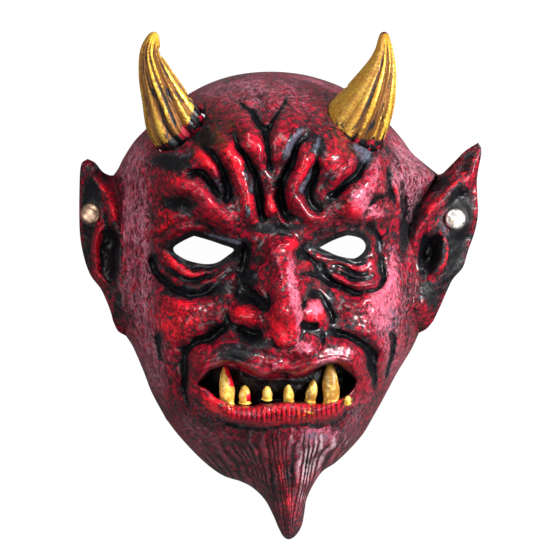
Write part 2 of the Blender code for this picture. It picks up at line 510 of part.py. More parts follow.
def quads(index, flip):
    """The faces of one grid, turned over where flip says so."""
    a, b, c, d = index[:-1, :-1], index[1:, :-1], index[1:, 1:], index[:-1, 1:]
    order = (a, d, c, b) if flip else (a, b, c, d)
    return np.stack(order, axis=-1).reshape(-1, 4)


def sheet_faces(index):
    """Faces of head and ears that look up."""
    return np.vstack([quads(index["head"], False), quads(index["left"], True), quads(index["right"], False)])


def edge_loop(index):
    """The free edge of a sheet, all the way round from the crown's left end."""
    head, left, right = index["head"], index["left"], index["right"]
    rows = len(left) - 1
    first = int(np.argmax(head[:, 0] == left[0, 0]))
    last = first + rows
    return np.concatenate([
        head[0, :-1], head[:first, -1], right[0, :-1], right[:-1, -1], right[-1, :0:-1],
        head[last:-1, -1], head[-1, :0:-1], head[:last:-1, 0],
        left[-1, :-1], left[:0:-1, -1], left[0, :0:-1], head[first:0:-1, 0],
    ])


def normals(points, faces):
    """Smooth normals at the points of a sheet."""
    a, b, c, d = (points[faces[:, k]] for k in range(4))
    face = np.cross(c - a, d - b)
    out = np.zeros_like(points)
    for k in range(4):
        np.add.at(out, faces[:, k], face)
    return out / np.maximum(np.linalg.norm(out, axis=1, keepdims=True), 1e-9)


def mask_mesh():
    """Points and faces of the whole moulding: outside, inside and the rim between them."""
    outside, hidden = sheets()
    outer, index = number({name: real(grid) for name, grid in outside.items()})
    smooth, _ = number({name: real(grid) for name, grid in hidden.items()})
    normal = normals(smooth, sheet_faces(index))
    rim = edge_loop(index)
    level = rim[outer[rim, 2] < 0.01]
    normal[level, 2] = 0
    normal /= np.linalg.norm(normal, axis=1, keepdims=True)
    inner_all = smooth - normal * WALL / UNIT
    inner_all[level, 2] = 0
    inner_all[:, 2] = np.maximum(inner_all[:, 2], 0)
    half = {name: inner_all[grid][::2, ::2] for name, grid in index.items()}
    inner, inner_index = number(half)
    start = len(outer)
    inner_index = {name: grid + start for name, grid in inner_index.items()}
    inner_rim = edge_loop(inner_index)
    faces = [tuple(row) for row in sheet_faces(index)]
    faces += [tuple(row[::-1]) for row in sheet_faces(inner_index)]
    for k, here in enumerate(inner_rim):
        after = inner_rim[(k + 1) % len(inner_rim)]
        a, b, c = rim[2 * k], rim[2 * k + 1], rim[(2 * k + 2) % len(rim)]
        faces += [(here, a, b), (here, b, after), (after, b, c)]
    return outward(np.vstack([outer, inner]), faces)


def outward(points, faces):
    """The same closed mesh with its faces turned to look out."""
    volume = 0.0
    for face in faces:
        a = points[face[0]]
        for k in range(1, len(face) - 1):
            volume += np.dot(a, np.cross(points[face[k]], points[face[k + 1]]))
    return points, faces if volume > 0 else [face[::-1] for face in faces]


def tube(rings):
    """A closed mesh through a stack of rings, with a flat cap at each end."""
    count, sides = rings.shape[:2]
    index = np.arange(count * sides).reshape(count, sides)
    after = np.roll(index, -1, axis=1)
    walls = np.stack([index[:-1], after[:-1], after[1:], index[1:]], axis=-1).reshape(-1, 4)
    faces = [tuple(q) for q in walls] + [tuple(index[0][::-1]), tuple(index[-1])]
    return outward(rings.reshape(-1, 3), faces)


def sweep(path, sides, flutes=0, grow=0.0, depth=0.0):
    """Rings about a drawn path of x, y, height and radius, square to it."""
    middle, radius = path[:, :3], path[:, 3] + grow
    along = np.gradient(middle, axis=0)
    along /= np.linalg.norm(along, axis=1, keepdims=True)
    across = np.cross(along, [0, 0, 1])
    across /= np.linalg.norm(across, axis=1, keepdims=True)
    front = np.cross(across, along)
    turn = np.linspace(0, 2 * np.pi, sides, endpoint=False)
    cut = np.ones((len(path), sides))
    if flutes:
        fade = smoothstep(np.linspace(0, 1, len(path)) / 0.2) * smoothstep(np.linspace(1, 0, len(path)) / 0.25)
        cut = 1 - depth * fade[:, None] * (0.5 - 0.5 * np.cos(flutes * turn))
    size = radius[:, None] * cut
    return (middle[:, None] + across[:, None] * (size * np.cos(turn))[..., None]
            + front[:, None] * (size * np.sin(turn))[..., None])


def horn_path(points, count):
    """The horn's middle line and radius, with a root of its own length below the skin."""
    line = even_deep(points[1:], count - 1)
    down = np.array(points[0][:3]) - line[0, :3]
    down *= HORN_ROOT / UNIT / np.linalg.norm(down)
    return np.vstack([np.append(line[0, :3] + down, points[0][3]), line])


def even_deep(points, count):
    """Like even, for points with a height, measured in space."""
    line = smooth_path(points, 12)
    length = np.concatenate([[0], np.cumsum(np.linalg.norm(np.diff(line[:, :3], axis=0), axis=1))])
    at = np.linspace(0, length[-1], count + 1)
    return np.column_stack([np.interp(at, length, column) for column in line.T])


def horn_mesh(points):
    """A fluted horn with a plain root."""
    return tube(real(sweep(horn_path(points, HORN_RINGS), HORN_SIDES, HORN_FLUTES, 0, FLUTE_DEPTH)))


def horn_hole(points):
    """The horn's lower length, wider by the seat gap, to cut its hole."""
    path = horn_path(points, HORN_RINGS)[: HORN_RINGS // 2 + 1].copy()
    below = path[0, :3] - path[1, :3]
    path[0, :3] += below * 0.25
    return tube(real(sweep(path, HORN_SIDES, 0, SEAT_GAP / UNIT + 0.05)))


def tooth_mesh(tooth, floor):
    """A tapered tooth that stands half sunk in the floor of the mouth."""
    x0, y0, x1, y1, radius = tooth
    share = np.array([0, 0.3, 0.62, 0.86, 1])
    size = radius * np.array([0.86, 1, 0.78, 0.5, 0.2])
    x = x0 + (x1 - x0) * share
    y = y0 + (y1 - y0) * share
    height = floor + 2.0 + 1.6 * share
    path = np.column_stack([x, y, height, size])
    return tube(real(sweep(path, TOOTH_SIDES)))


def mouth_floor(x, y):
    """Height of the mouth's floor at one drawn point."""
    at = np.array([float(x)]), np.array([float(y)])
    return float(head_base(*at, head_edge())[0][0] + relief(*at)[0])


def lathe(profile, place, axis):
    """A turned solid from radius and height pairs, its axis along the given direction."""
    axis = np.asarray(axis, float) / np.linalg.norm(axis)
    side = np.cross([0, 1, 0], axis)
    side /= np.linalg.norm(side)
    other = np.cross(axis, side)
    turn = np.linspace(0, 2 * np.pi, ROUND_SIDES, endpoint=False)
    ring = side * np.cos(turn)[:, None] + other * np.sin(turn)[:, None]
    rings = np.array([place + ring * r + axis * h for r, h in profile])
    return tube(rings)


def rivet_frame(name):
    """Place and axis of a rivet, where its ear's outside is flat."""
    x, y = EARS[name]["rivet"]
    lean = EARS[name]["lean"]
    axis = np.array([-lean[0], -lean[1], 1.0])
    return real(np.array([x, y, rivet_seat(name)])), axis / np.linalg.norm(axis)


def rivet_mesh(name):
    """A rivet with a domed front cap, a shank and a flat back cap."""
    place, axis = rivet_frame(name)
    gap, wall = SEAT_GAP / UNIT, WALL / UNIT
    cap, dome = RIVET_CAP_RADIUS / UNIT, RIVET_CAP_HEIGHT / UNIT
    back, thick = RIVET_BACK_RADIUS / UNIT, RIVET_BACK_HEIGHT / UNIT
    shank = RIVET_SHANK_RADIUS / UNIT
    under = -wall - RIVET_BACK_GAP / UNIT
    profile = [(back * 0.93, under - thick), (back, under - thick * 0.6), (back, under), (shank, under),
               (shank, gap), (cap, gap), (cap, gap + dome * 0.25), (cap * 0.86, gap + dome * 0.62),
               (cap * 0.52, gap + dome * 0.92), (cap * 0.15, gap + dome)]
    return lathe(profile, place, axis)


def rivet_bore(name):
    """The hole for the shank, longer than the ear is thick."""
    place, axis = rivet_frame(name)
    radius = (RIVET_SHANK_RADIUS + RIVET_BORE_GAP) / UNIT
    return lathe([(radius, -3 * WALL / UNIT), (radius, 2 * WALL / UNIT)], place, axis)


def eye_hole(eye):
    """A straight prism through the face, in the shape of the eye hole."""
    size = np.array([EYE_HOLE_LENGTH, EYE_HOLE_HEIGHT]) / UNIT
    edge = np.array(eye["edge"])[::-1] * size + eye["centre"]
    low = np.column_stack([edge, np.full(len(edge), 25.0)])
    high = np.column_stack([edge, np.full(len(edge), 100.0)])
    return tube(real(np.array([low, high])))


def material(name, colour, metallic, roughness):
    """A plain Principled material."""
    made = bpy.data.materials.new(name)
    made.use_nodes = True
    shader = made.node_tree.nodes["Principled BSDF"]
    shader.inputs["Base Color"].default_value = (*colour, 1)
    shader.inputs["Metallic"].default_value = metallic
    shader.inputs["Roughness"].default_value = roughness
    return made


def add_object(name, meshes, finish):
    """One object from one or more closed meshes, given in drawn units."""
    points, faces = [], []
    for own_points, own_faces in meshes:
        start = sum(len(p) for p in points)
        points.append(own_points * UNIT)
        faces += [tuple(int(i) + start for i in face) for face in own_faces]
    mesh = bpy.data.meshes.new(name)
    mesh.from_pydata(np.vstack(points).tolist(), [], faces)
    mesh.update()
    made = bpy.data.objects.new(name, mesh)
    bpy.context.scene.collection.objects.link(made)
    if finish:
        mesh.materials.append(finish)
    return made


def add_helper(name, meshes):
    """An object that only cuts or joins, and isn't part of the model."""
    helper = add_object(name, meshes, None)
    helper.hide_render = True
    helper.display_type = "WIRE"
    return helper


def combine(target, other, operation):
    """Joins another object to the target, or cuts it away, with an exact Boolean."""
    step = target.modifiers.new(other.name, "BOOLEAN")
    step.operation = operation
    step.solver = "EXACT"
    step.object = other


def main():
    for old in list(bpy.data.objects):
        bpy.data.objects.remove(old, do_unlink=True)
    latex = material("red_latex", (0.28, 0.02, 0.04), 0, 0.45)
    gold = material("gold_paint", (0.72, 0.42, 0.06), 0.3, 0.4)
    brass = material("brass", (0.78, 0.68, 0.48), 1, 0.3)
    mask = add_object("mask", [mask_mesh()], latex)
    horns = {"left_horn": LEFT_HORN, "right_horn": RIGHT_HORN}
    cuts = [eye_hole(eye) for eye in EYES] + [horn_hole(h) for h in horns.values()]
    cuts += [rivet_bore(name) for name in EARS]
    combine(mask, add_helper("hole_cutters", cuts), "DIFFERENCE")
    teeth = [tooth_mesh(t, mouth_floor((t[0] + t[2]) / 2, (t[1] + t[3]) / 2)) for t in TEETH]
    combine(mask, add_helper("teeth", teeth), "UNION")
    for name, points in horns.items():
        add_object(name, [horn_mesh(points)], gold)
    for name in EARS:
        add_object(name + "_ear_rivet", [rivet_mesh(name)], brass)


main()
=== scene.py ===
"""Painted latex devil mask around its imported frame: carved skin, horns, teeth, rivets and paint.

The face is drawn as a viewer straight above sees it, in millimetres: x to the right, y toward the
crown, heights over the floor. Every surface is worked out with numpy from named carving strokes.
"""

import math

import bpy
import numpy as np
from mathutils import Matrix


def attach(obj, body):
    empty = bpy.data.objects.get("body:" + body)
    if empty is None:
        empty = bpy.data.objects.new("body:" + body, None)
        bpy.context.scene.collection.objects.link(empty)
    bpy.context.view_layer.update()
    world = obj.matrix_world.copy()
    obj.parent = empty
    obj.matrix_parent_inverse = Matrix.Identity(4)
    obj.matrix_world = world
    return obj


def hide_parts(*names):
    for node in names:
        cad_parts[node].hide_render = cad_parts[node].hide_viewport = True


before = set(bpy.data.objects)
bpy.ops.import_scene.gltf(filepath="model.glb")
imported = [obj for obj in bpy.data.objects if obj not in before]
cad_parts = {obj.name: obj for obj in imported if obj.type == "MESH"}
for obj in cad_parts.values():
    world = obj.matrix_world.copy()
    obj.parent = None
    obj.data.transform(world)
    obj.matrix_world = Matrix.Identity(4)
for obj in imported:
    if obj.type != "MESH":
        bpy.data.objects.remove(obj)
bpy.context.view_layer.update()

# The drawing: metres in one of its units, the viewer's distance and width of view, the point straight
# below the viewer, the middle of the whole mask and that of the face.
UNIT = 0.001
VIEW_DISTANCE = 850.0
VIEW_WIDTH = 275.5
SIGHT = np.array([-2.75, 4.25])
MIDDLE = np.array([-0.97, -4.6])
FACE_MIDDLE = -4
# The latex wall, the gap round a horn's root, and how far the floor lies below the rim.
WALL = 2.6
SEAT_GAP = 0.45
FLOOR_DROP = 0.05

# Rows and columns of faces outside. The inside has one for every INSIDE_STEP of them.
COLUMNS = 256
CROWN_ROWS = 44
EAR_ROWS = 164
JAW_ROWS = 84
EAR_COLUMNS = 40
INSIDE_STEP = 4
RIM_SHARE = 0.1
RIM_INSET = 0.3

# The edge of the face, from the top left round both sides to the chin.
CROWN = [(-65.5, 79.5), (-55, 88.8), (-44.5, 96), (-33, 101.5), (-20, 105), (-5, 106.2),
         (9.5, 105), (22, 101.8), (32, 97.6), (43, 90.5), (54.5, 79.5)]
LEFT_CROWN = [(-65.5, 79.5), (-73, 71.8), (-78.5, 63.5), (-81.6, 57.4), (-83.8, 54.4)]
LEFT_ROOT = [(-83.8, 54.4), (-82.4, 49), (-81, 41), (-79.7, 28), (-78.8, 12), (-78.3, -3),
             (-78, -15), (-77.5, -26)]
LEFT_JAW = [(-77.5, -26), (-74, -31.5), (-69, -43), (-64.5, -54.5), (-57.5, -67.5)]
RIGHT_CROWN = [(54.5, 79.5), (60.5, 72.5), (65.5, 65.6), (72.2, 59.8), (78.6, 54.7)]
RIGHT_ROOT = [(78.6, 54.7), (74.5, 48), (70, 41), (66.4, 33), (64.8, 25), (65.5, 16), (67.3, 8),
              (67.5, -1), (66.3, -9), (66.8, -16), (69, -24.5)]
RIGHT_JAW = [(69, -24.5), (65, -33), (58, -44.5), (50.8, -58), (45.5, -67.5)]
CHIN = [(-57.5, -67.5), (-50.5, -76.5), (-39.5, -88), (-29.5, -95.5), (-20, -98.8), (-14, -102),
        (-8, -108), (-4, -115.5), (-1, -122.5), (1.5, -126.6), (4.5, -127.6), (8, -125),
        (10.8, -119.5), (12, -110.5), (15, -102.5), (20.5, -94), (27, -89.5), (34, -83),
        (41, -75), (45.5, -67.5)]

# Each ear's free edges as x, y and height, and the height of the valley where it joins the head.
LEFT_EAR = {
    "top": [(-83.8, 54.4, 0), (-86, 54.5, 8), (-89.3, 56.3, 15), (-93, 60.7, 19),
            (-96.8, 62.6, 20)],
    "outer": [(-96.8, 62.6, 20), (-100, 59.5, 17), (-100.8, 48, 13), (-100.7, 27, 11),
              (-98.8, 14.5, 11), (-95.3, 4.5, 12), (-89.8, -3, 13), (-85.7, -12.5, 13),
              (-84, -18.5, 9)],
    "base": [(-77.5, -26, 0), (-81.6, -23.4, 4), (-84, -18.5, 9)],
    "root": LEFT_ROOT, "valley": 27.0, "rivet": (-95.1, 35.1), "lean": (0.30, 0.0),
}
RIGHT_EAR = {
    "top": [(78.6, 54.7, 0), (81, 55.6, 8), (86.5, 61, 17), (92, 66.5, 22),
            (98.7, 70.8, 25)],
    "outer": [(98.7, 70.8, 25), (100.2, 66, 24), (98, 52, 20), (98.5, 36, 18), (97, 26.5, 17),
              (93.5, 16.5, 17), (91, 8.5, 17), (86, 2.5, 17), (83, -3.5, 16), (79.5, -11.5, 13),
              (76.2, -18.5, 8)],
    "base": [(69, -24.5, 0), (72.8, -22.4, 4), (76.2, -18.5, 8)],
    "root": RIGHT_ROOT, "valley": 25.0, "rivet": (87.0, 32.5), "lean": (-0.12, 0.0),
}
EARS = {"left": LEFT_EAR, "right": RIGHT_EAR}
RIVET_FLAT = 5.6
RIVET_BACK_FLAT = 7.0
RIVET_BLEND = 5.5
RIVET_RISE = 1.0
# A rivet's back cap, shank and front brim as radius and height, its dome, and the bore for its shank.
RIVET_PROFILE = [(3.72, -4.5), (4.0, -4.0), (4.0, -3.3), (1.6, -3.3), (1.6, 0.4), (4.9, 0.4), (5.1, 0.55)]
DOME_RADIUS, DOME_FOOT, DOME_RISE = 5.1, 0.7, 1.9
DENT_DEPTH = 0.22
BORE = [(2.0, -8), (2.0, 6)]
# How far each rivet's plating is worn to copper.
RIVET_WEAR = {"left": 1.0, "right": 0.0}

LEFT_EYE = [(-43.5, 24), (-48, 22), (-53, 19), (-53.7, 17), (-52, 14.8), (-47, 12), (-41, 10.4), (-36, 10),
            (-31.5, 11), (-27, 14), (-23.7, 17.3), (-30, 19.8), (-37, 22.2)]
RIGHT_EYE = [(19.3, 18.2), (25, 21.3), (30, 23.3), (34, 24.2), (39.5, 22.9), (42, 20.3), (42, 17.5),
             (40, 14.8), (37, 13), (33.5, 13), (28, 14.3), (23.5, 16.3)]
MOUTH = [(-41, -50.3), (-39.5, -46), (-36, -41.5), (-31, -40), (-25, -40), (-18, -42.6), (-10, -45.4),
         (0, -45.8), (8, -45), (14, -42.8), (19, -39.4), (24, -37.8), (30, -39.3), (35.5, -43.5),
         (38, -48), (36.5, -51.5), (33.5, -56), (28, -58.7), (20, -59.2), (8, -59.4), (-4, -59.8),
         (-16, -60.6), (-25, -60.5), (-32, -57.5), (-37, -53)]
# How deep the mouth is, how far outside its outline its wall starts, and how wide the wall is.
MOUTH_DEPTH = 13.0
MOUTH_WALL = (0.6, 2.2)
# Heights between which the eye holes are cut.
EYE_CUT = (25, 100)

# Teeth: x and y of the root, x and y of the point, the widest radius, and the bend to the right.
TEETH = [
    (-26.9, -60.4, -28.0, -41.0, 4.0, 0.2), (-18.2, -59.2, -18.2, -50.6, 3.15, 0.1),
    (-7.0, -57.4, -7.2, -50.9, 2.6, 0.2), (3.9, -59.0, 3.7, -50.3, 2.75, -0.1),
    (14.4, -58.6, 16.2, -48.0, 2.9, 0.3), (25.0, -59.8, 24.3, -38.9, 4.3, 0.2),
    (33.2, -59.4, 33.6, -55.8, 1.8, 0.0),
]
# A tooth's width along its length, its rings and sides, the height of its root over the mouth's floor,
# and how far it rises from there.
TOOTH_SHAPE = [(0, 1.04), (0.08, 0.86), (0.2, 0.95), (0.36, 1), (0.52, 0.92), (0.68, 0.76), (0.82, 0.58),
               (0.92, 0.41), (0.97, 0.26), (1, 0.05)]
TOOTH_RINGS, TOOTH_SIDES = 26, 28
TOOTH_LIFT, TOOTH_RISE = 2.4, 2.2
# How brown each of them is, and the span of its length that is stained red on its right side: a span
# past the point means none.
TOOTH_BROWN = [0.25, 0.2, 0.1, 0.3, 0.75, 0.85, 0.0]
TOOTH_RED = [(0.42, 1.3), (0.0, 0.55), (2, 3), (2, 3), (2, 3), (2, 3), (2, 3)]

# Horns: x, y and height of the middle, and the radius there, from the root inside to the point.
LEFT_HORN = [(-44.5, 68.5, 40, 12.5), (-49, 75, 45, 14), (-53.5, 81.5, 50, 14.8), (-59, 94.5, 56, 11.2),
             (-63, 105, 60, 8.4), (-65.3, 114.5, 61, 5.6), (-64.4, 121, 60, 4.0), (-62.8, 126, 58, 1.8)]
RIGHT_HORN = [(30.5, 66.5, 40, 13.5), (34, 73.5, 45, 15.6), (38, 80.5, 50, 16.6), (44.4, 93, 56, 13.2),
              (49.6, 106.5, 60, 8.4), (51.4, 115.5, 61, 5.0), (51.6, 122, 60, 3.2), (51.4, 126, 58, 1.7)]
# Length of a horn below the skin, its rings and sides, and the same for the cutter of its hole, which
# takes only the first HOLE_LENGTH of its rings.
HORN_ROOT = 14.0
HORN_RINGS, HORN_SIDES = 150, 144
HOLE_RINGS, HOLE_LENGTH, HOLE_SIDES = 42, 26, 64
# Shares of a horn's length: where its grooves start, how soon they are full, over what length they end,
# and the length that is rounded off at the point.
GROOVE_START, GROOVE_RISE, GROOVE_END, POINT_LENGTH = 0.10, 0.08, 0.22, 0.03
# Degrees that a groove wanders, and a chip's reach as share of the length and degrees.
GROOVE_WANDER = 5
CHIP_LENGTH, CHIP_WIDTH = 0.022, 26
# Grooves round each horn: degrees from its right side over its front, depth and width in degrees.
LEFT_GROOVES = [
    (-28, 0.10, 8), (-8, 0.13, 8), (16, 0.18, 9), (44, 0.15, 8), (72, 0.22, 9), (95, 0.13, 7),
    (114, 0.22, 9), (142, 0.18, 9), (166, 0.09, 8), (195, 0.07, 9), (225, 0.08, 9), (255, 0.08, 9),
    (285, 0.08, 9), (310, 0.08, 8),
]
RIGHT_GROOVES = [
    (-30, 0.08, 8), (-8, 0.11, 7), (12, 0.14, 6), (33, 0.17, 6), (50, 0.08, 4), (65, 0.22, 9),
    (87, 0.15, 7), (105, 0.06, 6), (200, 0.05, 9), (230, 0.06, 9), (260, 0.07, 9), (295, 0.07, 9),
]
# Chips out of the horns' edges: share of the length, degrees and depth.
LEFT_CHIPS = [(0.865, 8, 0.34), (0.81, 2, 0.16), (0.42, 4, 0.07)]
RIGHT_CHIPS = [(0.93, 20, 0.12), (0.5, 176, 0.04)]
# Where the gold coat ends at each horn's foot, from its left to its right.
LEFT_GOLD_EDGE = [
    (-75, 66), (-63.4, 68.4), (-57, 70.4), (-53.6, 74.3), (-51.3, 75), (-49.1, 79.4), (-46.8, 80.5),
    (-44.6, 83.3), (-43.6, 88), (-42.6, 95), (-42, 110),
]
RIGHT_GOLD_EDGE = [
    (10, 96), (22.5, 87), (24.6, 81.3), (26.6, 77.6), (30.8, 76.4), (36.4, 73.7), (43.7, 71.8), (50, 72),
    (60, 76),
]
# Each horn's path, grooves, chips and gold edge, the cosine of its turn under which it is painted in
# bronze as shade, on its side away from the light, and how dark its point is.
HORNS = {
    "left_horn": (LEFT_HORN, LEFT_GROOVES, LEFT_CHIPS, LEFT_GOLD_EDGE, 0.18, 0.0),
    "right_horn": (RIGHT_HORN, RIGHT_GROOVES, RIGHT_CHIPS, RIGHT_GOLD_EDGE, 0.78, 1.0),
}

# The middle line of the face from the beard's point to the crown, as y and height.
PROFILE = [(-135, 8), (-127, 12), (-118, 17), (-108, 24), (-97, 34), (-85, 46), (-72, 56), (-58, 62),
           (-40, 65), (-20, 66), (0, 67), (15, 67), (30, 72), (50, 77), (70, 76), (90, 72), (115, 66)]

# Raised folds: height, half width, and the path as x, y and relative size.
FOLDS = [
    # brow and forehead, left
    (5.0, 5.2, [(-27, 88, .8), (-18, 80, 1.15), (-12.3, 71, 1.1), (-9.0, 64, .85), (-7, 56, .55)]),
    (5.4, 4.8, [(-33, 76, .8), (-27, 67.5, 1.1), (-22, 58.5, 1.1), (-18.6, 50, 1), (-16.4, 42, 1),
                (-16.8, 35, 1.1), (-20, 29, 1)]),
    (5.6, 4.9, [(-62, 52, .7), (-54, 51, .85), (-46.5, 48.8, 1), (-40.5, 44, 1.1), (-35.5, 38.8, 1.1),
                (-30.5, 34, 1.1), (-24.5, 29.5, 1.1), (-17, 26.5, .8)]),
    (4.6, 4.0, [(-46, 65, .75), (-40, 63.5, 1.1), (-36, 58.8, 1.1), (-32.5, 54, .9), (-29.5, 49.5, .6)]),
    (1.8, 2.0, [(-53, 57.5, .6), (-46.5, 59, 1), (-39, 58.3, .9)]),
    (2.6, 3.6, [(-5.5, 97, .8), (-5, 89.5, 1.1), (-6.3, 83, .8), (-7.6, 77.5, .5)]),
    # between the brows
    (4.2, 2.7, [(-3.1, 50, .6), (-3.9, 44.5, 1), (-5.3, 39, 1.2), (-6, 33, 1)]),
    (2.8, 1.6, [(-3, 44, .6), (-1.2, 38.5, 1), (.8, 33.5, 1), (3.8, 28, .8)]),
    # brow and forehead, right
    (4.4, 5.0, [(11, 90, .8), (4.4, 82, 1.1), (.6, 73.5, 1.05), (-1, 65, .85), (-1, 58, .55)]),
    (2.0, 1.9, [(14.5, 80.5, .7), (8.3, 76, 1), (4.8, 70.5, 1), (2.4, 64.5, .9), (.6, 59, .5)]),
    (5.4, 4.5, [(16.5, 74.5, .7), (13, 67, 1), (9.8, 59.8, 1.1), (7.3, 52.5, 1.1), (7.1, 45.5, 1.1),
                (9.8, 38.8, 1.1), (14.5, 34, 1), (21, 30.8, 1), (29, 28, .8)]),
    (3.4, 3.2, [(45, 71, .8), (38.7, 64.3, 1), (34.0, 58.4, 1), (28, 54.5, 1), (21.5, 53, .7)]),
    (5.8, 6.2, [(53, 69, .7), (49.8, 59.5, 1), (45.8, 51, 1.1), (40.0, 43.0, 1.1), (34.5, 37, 1),
                (28.5, 31.5, .9)]),
    (1.9, 1.5, [(39, 30.5, .7), (43.5, 32.7, 1), (48, 33, 1), (52, 30.5, .6)]),
    (2.4, 1.8, [(56, 55, .6), (57.6, 47, 1), (58.4, 38.5, 1), (59, 30, .9), (60, 20, .6)]),
    # lids, left
    (2.4, 1.7, [(-63, 38, .6), (-58.3, 34, 1), (-52, 32.5, 1), (-44, 32.5, .6)]),
    (2.0, 1.6, [(-67, 22, .6), (-62.3, 27, 1), (-57, 30, 1), (-50, 31, .6)]),
    (1.9, 1.3, [(-60, 17, .8), (-58, 22, 1), (-54, 26.5, 1), (-48.5, 28.9, 1), (-42, 28.6, .9),
                (-35, 26.8, .6)]),
    (2.8, 1.7, [(-58.4, 21, .7), (-57.7, 15.3, 1.1), (-54.3, 10.7, 1.3), (-49.8, 7.2, 1.2), (-44, 5.1, 1),
                (-38, 5.5, .9), (-31.5, 7.7, .8), (-24, 11, .6)]),
    (2.2, 1.6, [(-61.5, 15, .6), (-58.7, 7.8, 1), (-54, 2.8, 1), (-48, 0, 1), (-42, -.8, 1), (-36, .9, 1),
                (-30.3, 4.2, .9), (-24, 7, .5)]),
    # lids and bag, right
    (2.8, 1.7, [(11.5, 19, .7), (17, 16, 1), (23, 12.2, 1.1), (30, 9.2, 1.2), (37, 8, 1.2), (43, 9.6, 1.1),
                (46.6, 13.6, 1), (47.3, 19, .7)]),
    (2.0, 1.3, [(19, 11.8, .6), (26, 7.1, .9), (33, 4.8, 1), (40, 5, 1), (45.6, 8, 1), (48.3, 13, .8)]),
    (2.8, 1.9, [(20, 8, .6), (28, 3.1, .9), (35, .7, 1.1), (41.5, .5, 1.2), (46.7, 4, 1.1),
                (49.3, 10.5, .8)]),
    # nose
    (11.0, 8.2, [(-3, 26, .5), (-1, 18, .7), (1.4, 10, .9), (2.6, 0, 1), (2.6, -9, 1.05),
                 (2.4, -18, 1.05), (2.2, -28, 1)]),
    (2.6, 2.0, [(-29, -2, .6), (-24.5, 2, 1), (-18.3, 2.5, 1), (-13.2, 0, 1), (-10.3, -5, 1),
                (-9.6, -11, .7)]),
    (2.0, 1.5, [(6, .5, .6), (10, 3.4, 1), (14.4, 3.5, 1), (20, 1, .8)]),
    # cheeks
    (2.8, 3.0, [(41, -20, .7), (47.7, -28, 1), (50.5, -38, 1), (50, -50, .7)]),
    (1.8, 1.6, [(58, -20, .6), (58.7, -30, 1), (57.3, -38, 1), (54, -48, .6)]),
    (2.2, 2.4, [(-64, -2, .7), (-56, -9, 1), (-47, -11.5, 1), (-39, -11, .8)]),
    # gum
    (1.8, 1.0, [(-20, -46.3, .6), (-10, -48.3, 1), (3, -48.7, 1), (14, -46.5, .7)]),
    # lips
    (5.6, 6.0, [(-45, -48, .7), (-41.7, -38.5, 1), (-33.5, -33.3, 1.1), (-24, -32.8, 1.1), (-15, -36, 1),
                (-7, -41, .7)]),
    (2.2, 1.4, [(-44.5, -49, .7), (-42, -42, 1), (-36.3, -38.7, 1), (-30, -37.9, 1), (-23, -39.4, 1),
                (-15, -42.6, 1), (-5, -44.8, .8)]),
    (4.8, 4.8, [(3, -41.5, .6), (12, -38, .9), (20, -33, 1), (29, -31.5, 1), (37.3, -36, 1),
                (42.3, -44.5, .8), (43, -54, .5)]),
    (2.2, 1.5, [(-1, -44.4, .7), (8, -42.7, 1), (15, -39.4, 1), (22, -36.6, 1), (29, -36.2, 1),
                (35.8, -39.5, 1), (40.8, -45.3, 1), (42.6, -52, .7)]),
    (5.0, 3.7, [(-41, -52.5, .5), (-34.5, -59.7, .8), (-26, -64, 1), (-16, -65.2, 1.05), (-4, -64.9, 1.05),
                (8, -64.7, 1.05), (18, -64, 1), (26.5, -61.3, .9), (33.2, -56.3, .7), (38, -49, .5)]),
    # beard
    (2.6, 2.4, [(-2.3, -86, .6), (.6, -97, 1), (3, -108, 1), (4.2, -120, .8)]),
    (2.2, 2.2, [(10, -84, .6), (9.8, -95, 1), (8.2, -106, 1), (6.3, -118, .7)]),
    # ears
    (3.8, 2.2, [(-96.3, 61.5, .9), (-94.5, 55, 1.1), (-92.8, 50.3, 1.1), (-89.3, 47, 1), (-86, 42.5, 1),
                (-83.6, 36.5, 1), (-82, 29, 1), (-80.2, 21, .9), (-79.3, 13, .7)]),
    (3.4, 1.7, [(-87, 32, .6), (-90, 28.5, 1), (-92.3, 24, 1), (-92.7, 16, 1), (-91.2, 7.5, 1), (-87, 1, 1),
                (-80, -4, .7)]),
    (4.2, 2.6, [(98.5, 69, .8), (97, 62, 1), (94, 53, 1.1), (86.5, 47.6, 1.1), (78.5, 41, 1.1), (73, 35, 1),
                (69.5, 28, 1), (66.5, 19, .9), (66, 9, .6)]),
    (3.2, 1.7, [(76, 26, .6), (80.5, 24.3, 1), (82.6, 20.5, 1), (82.8, 15, 1), (81, 9.5, 1), (77, 5.2, 1),
                (72, .5, .7)]),
]
FOLD_POWER = 2.6
CREASE_POWER = 1.3

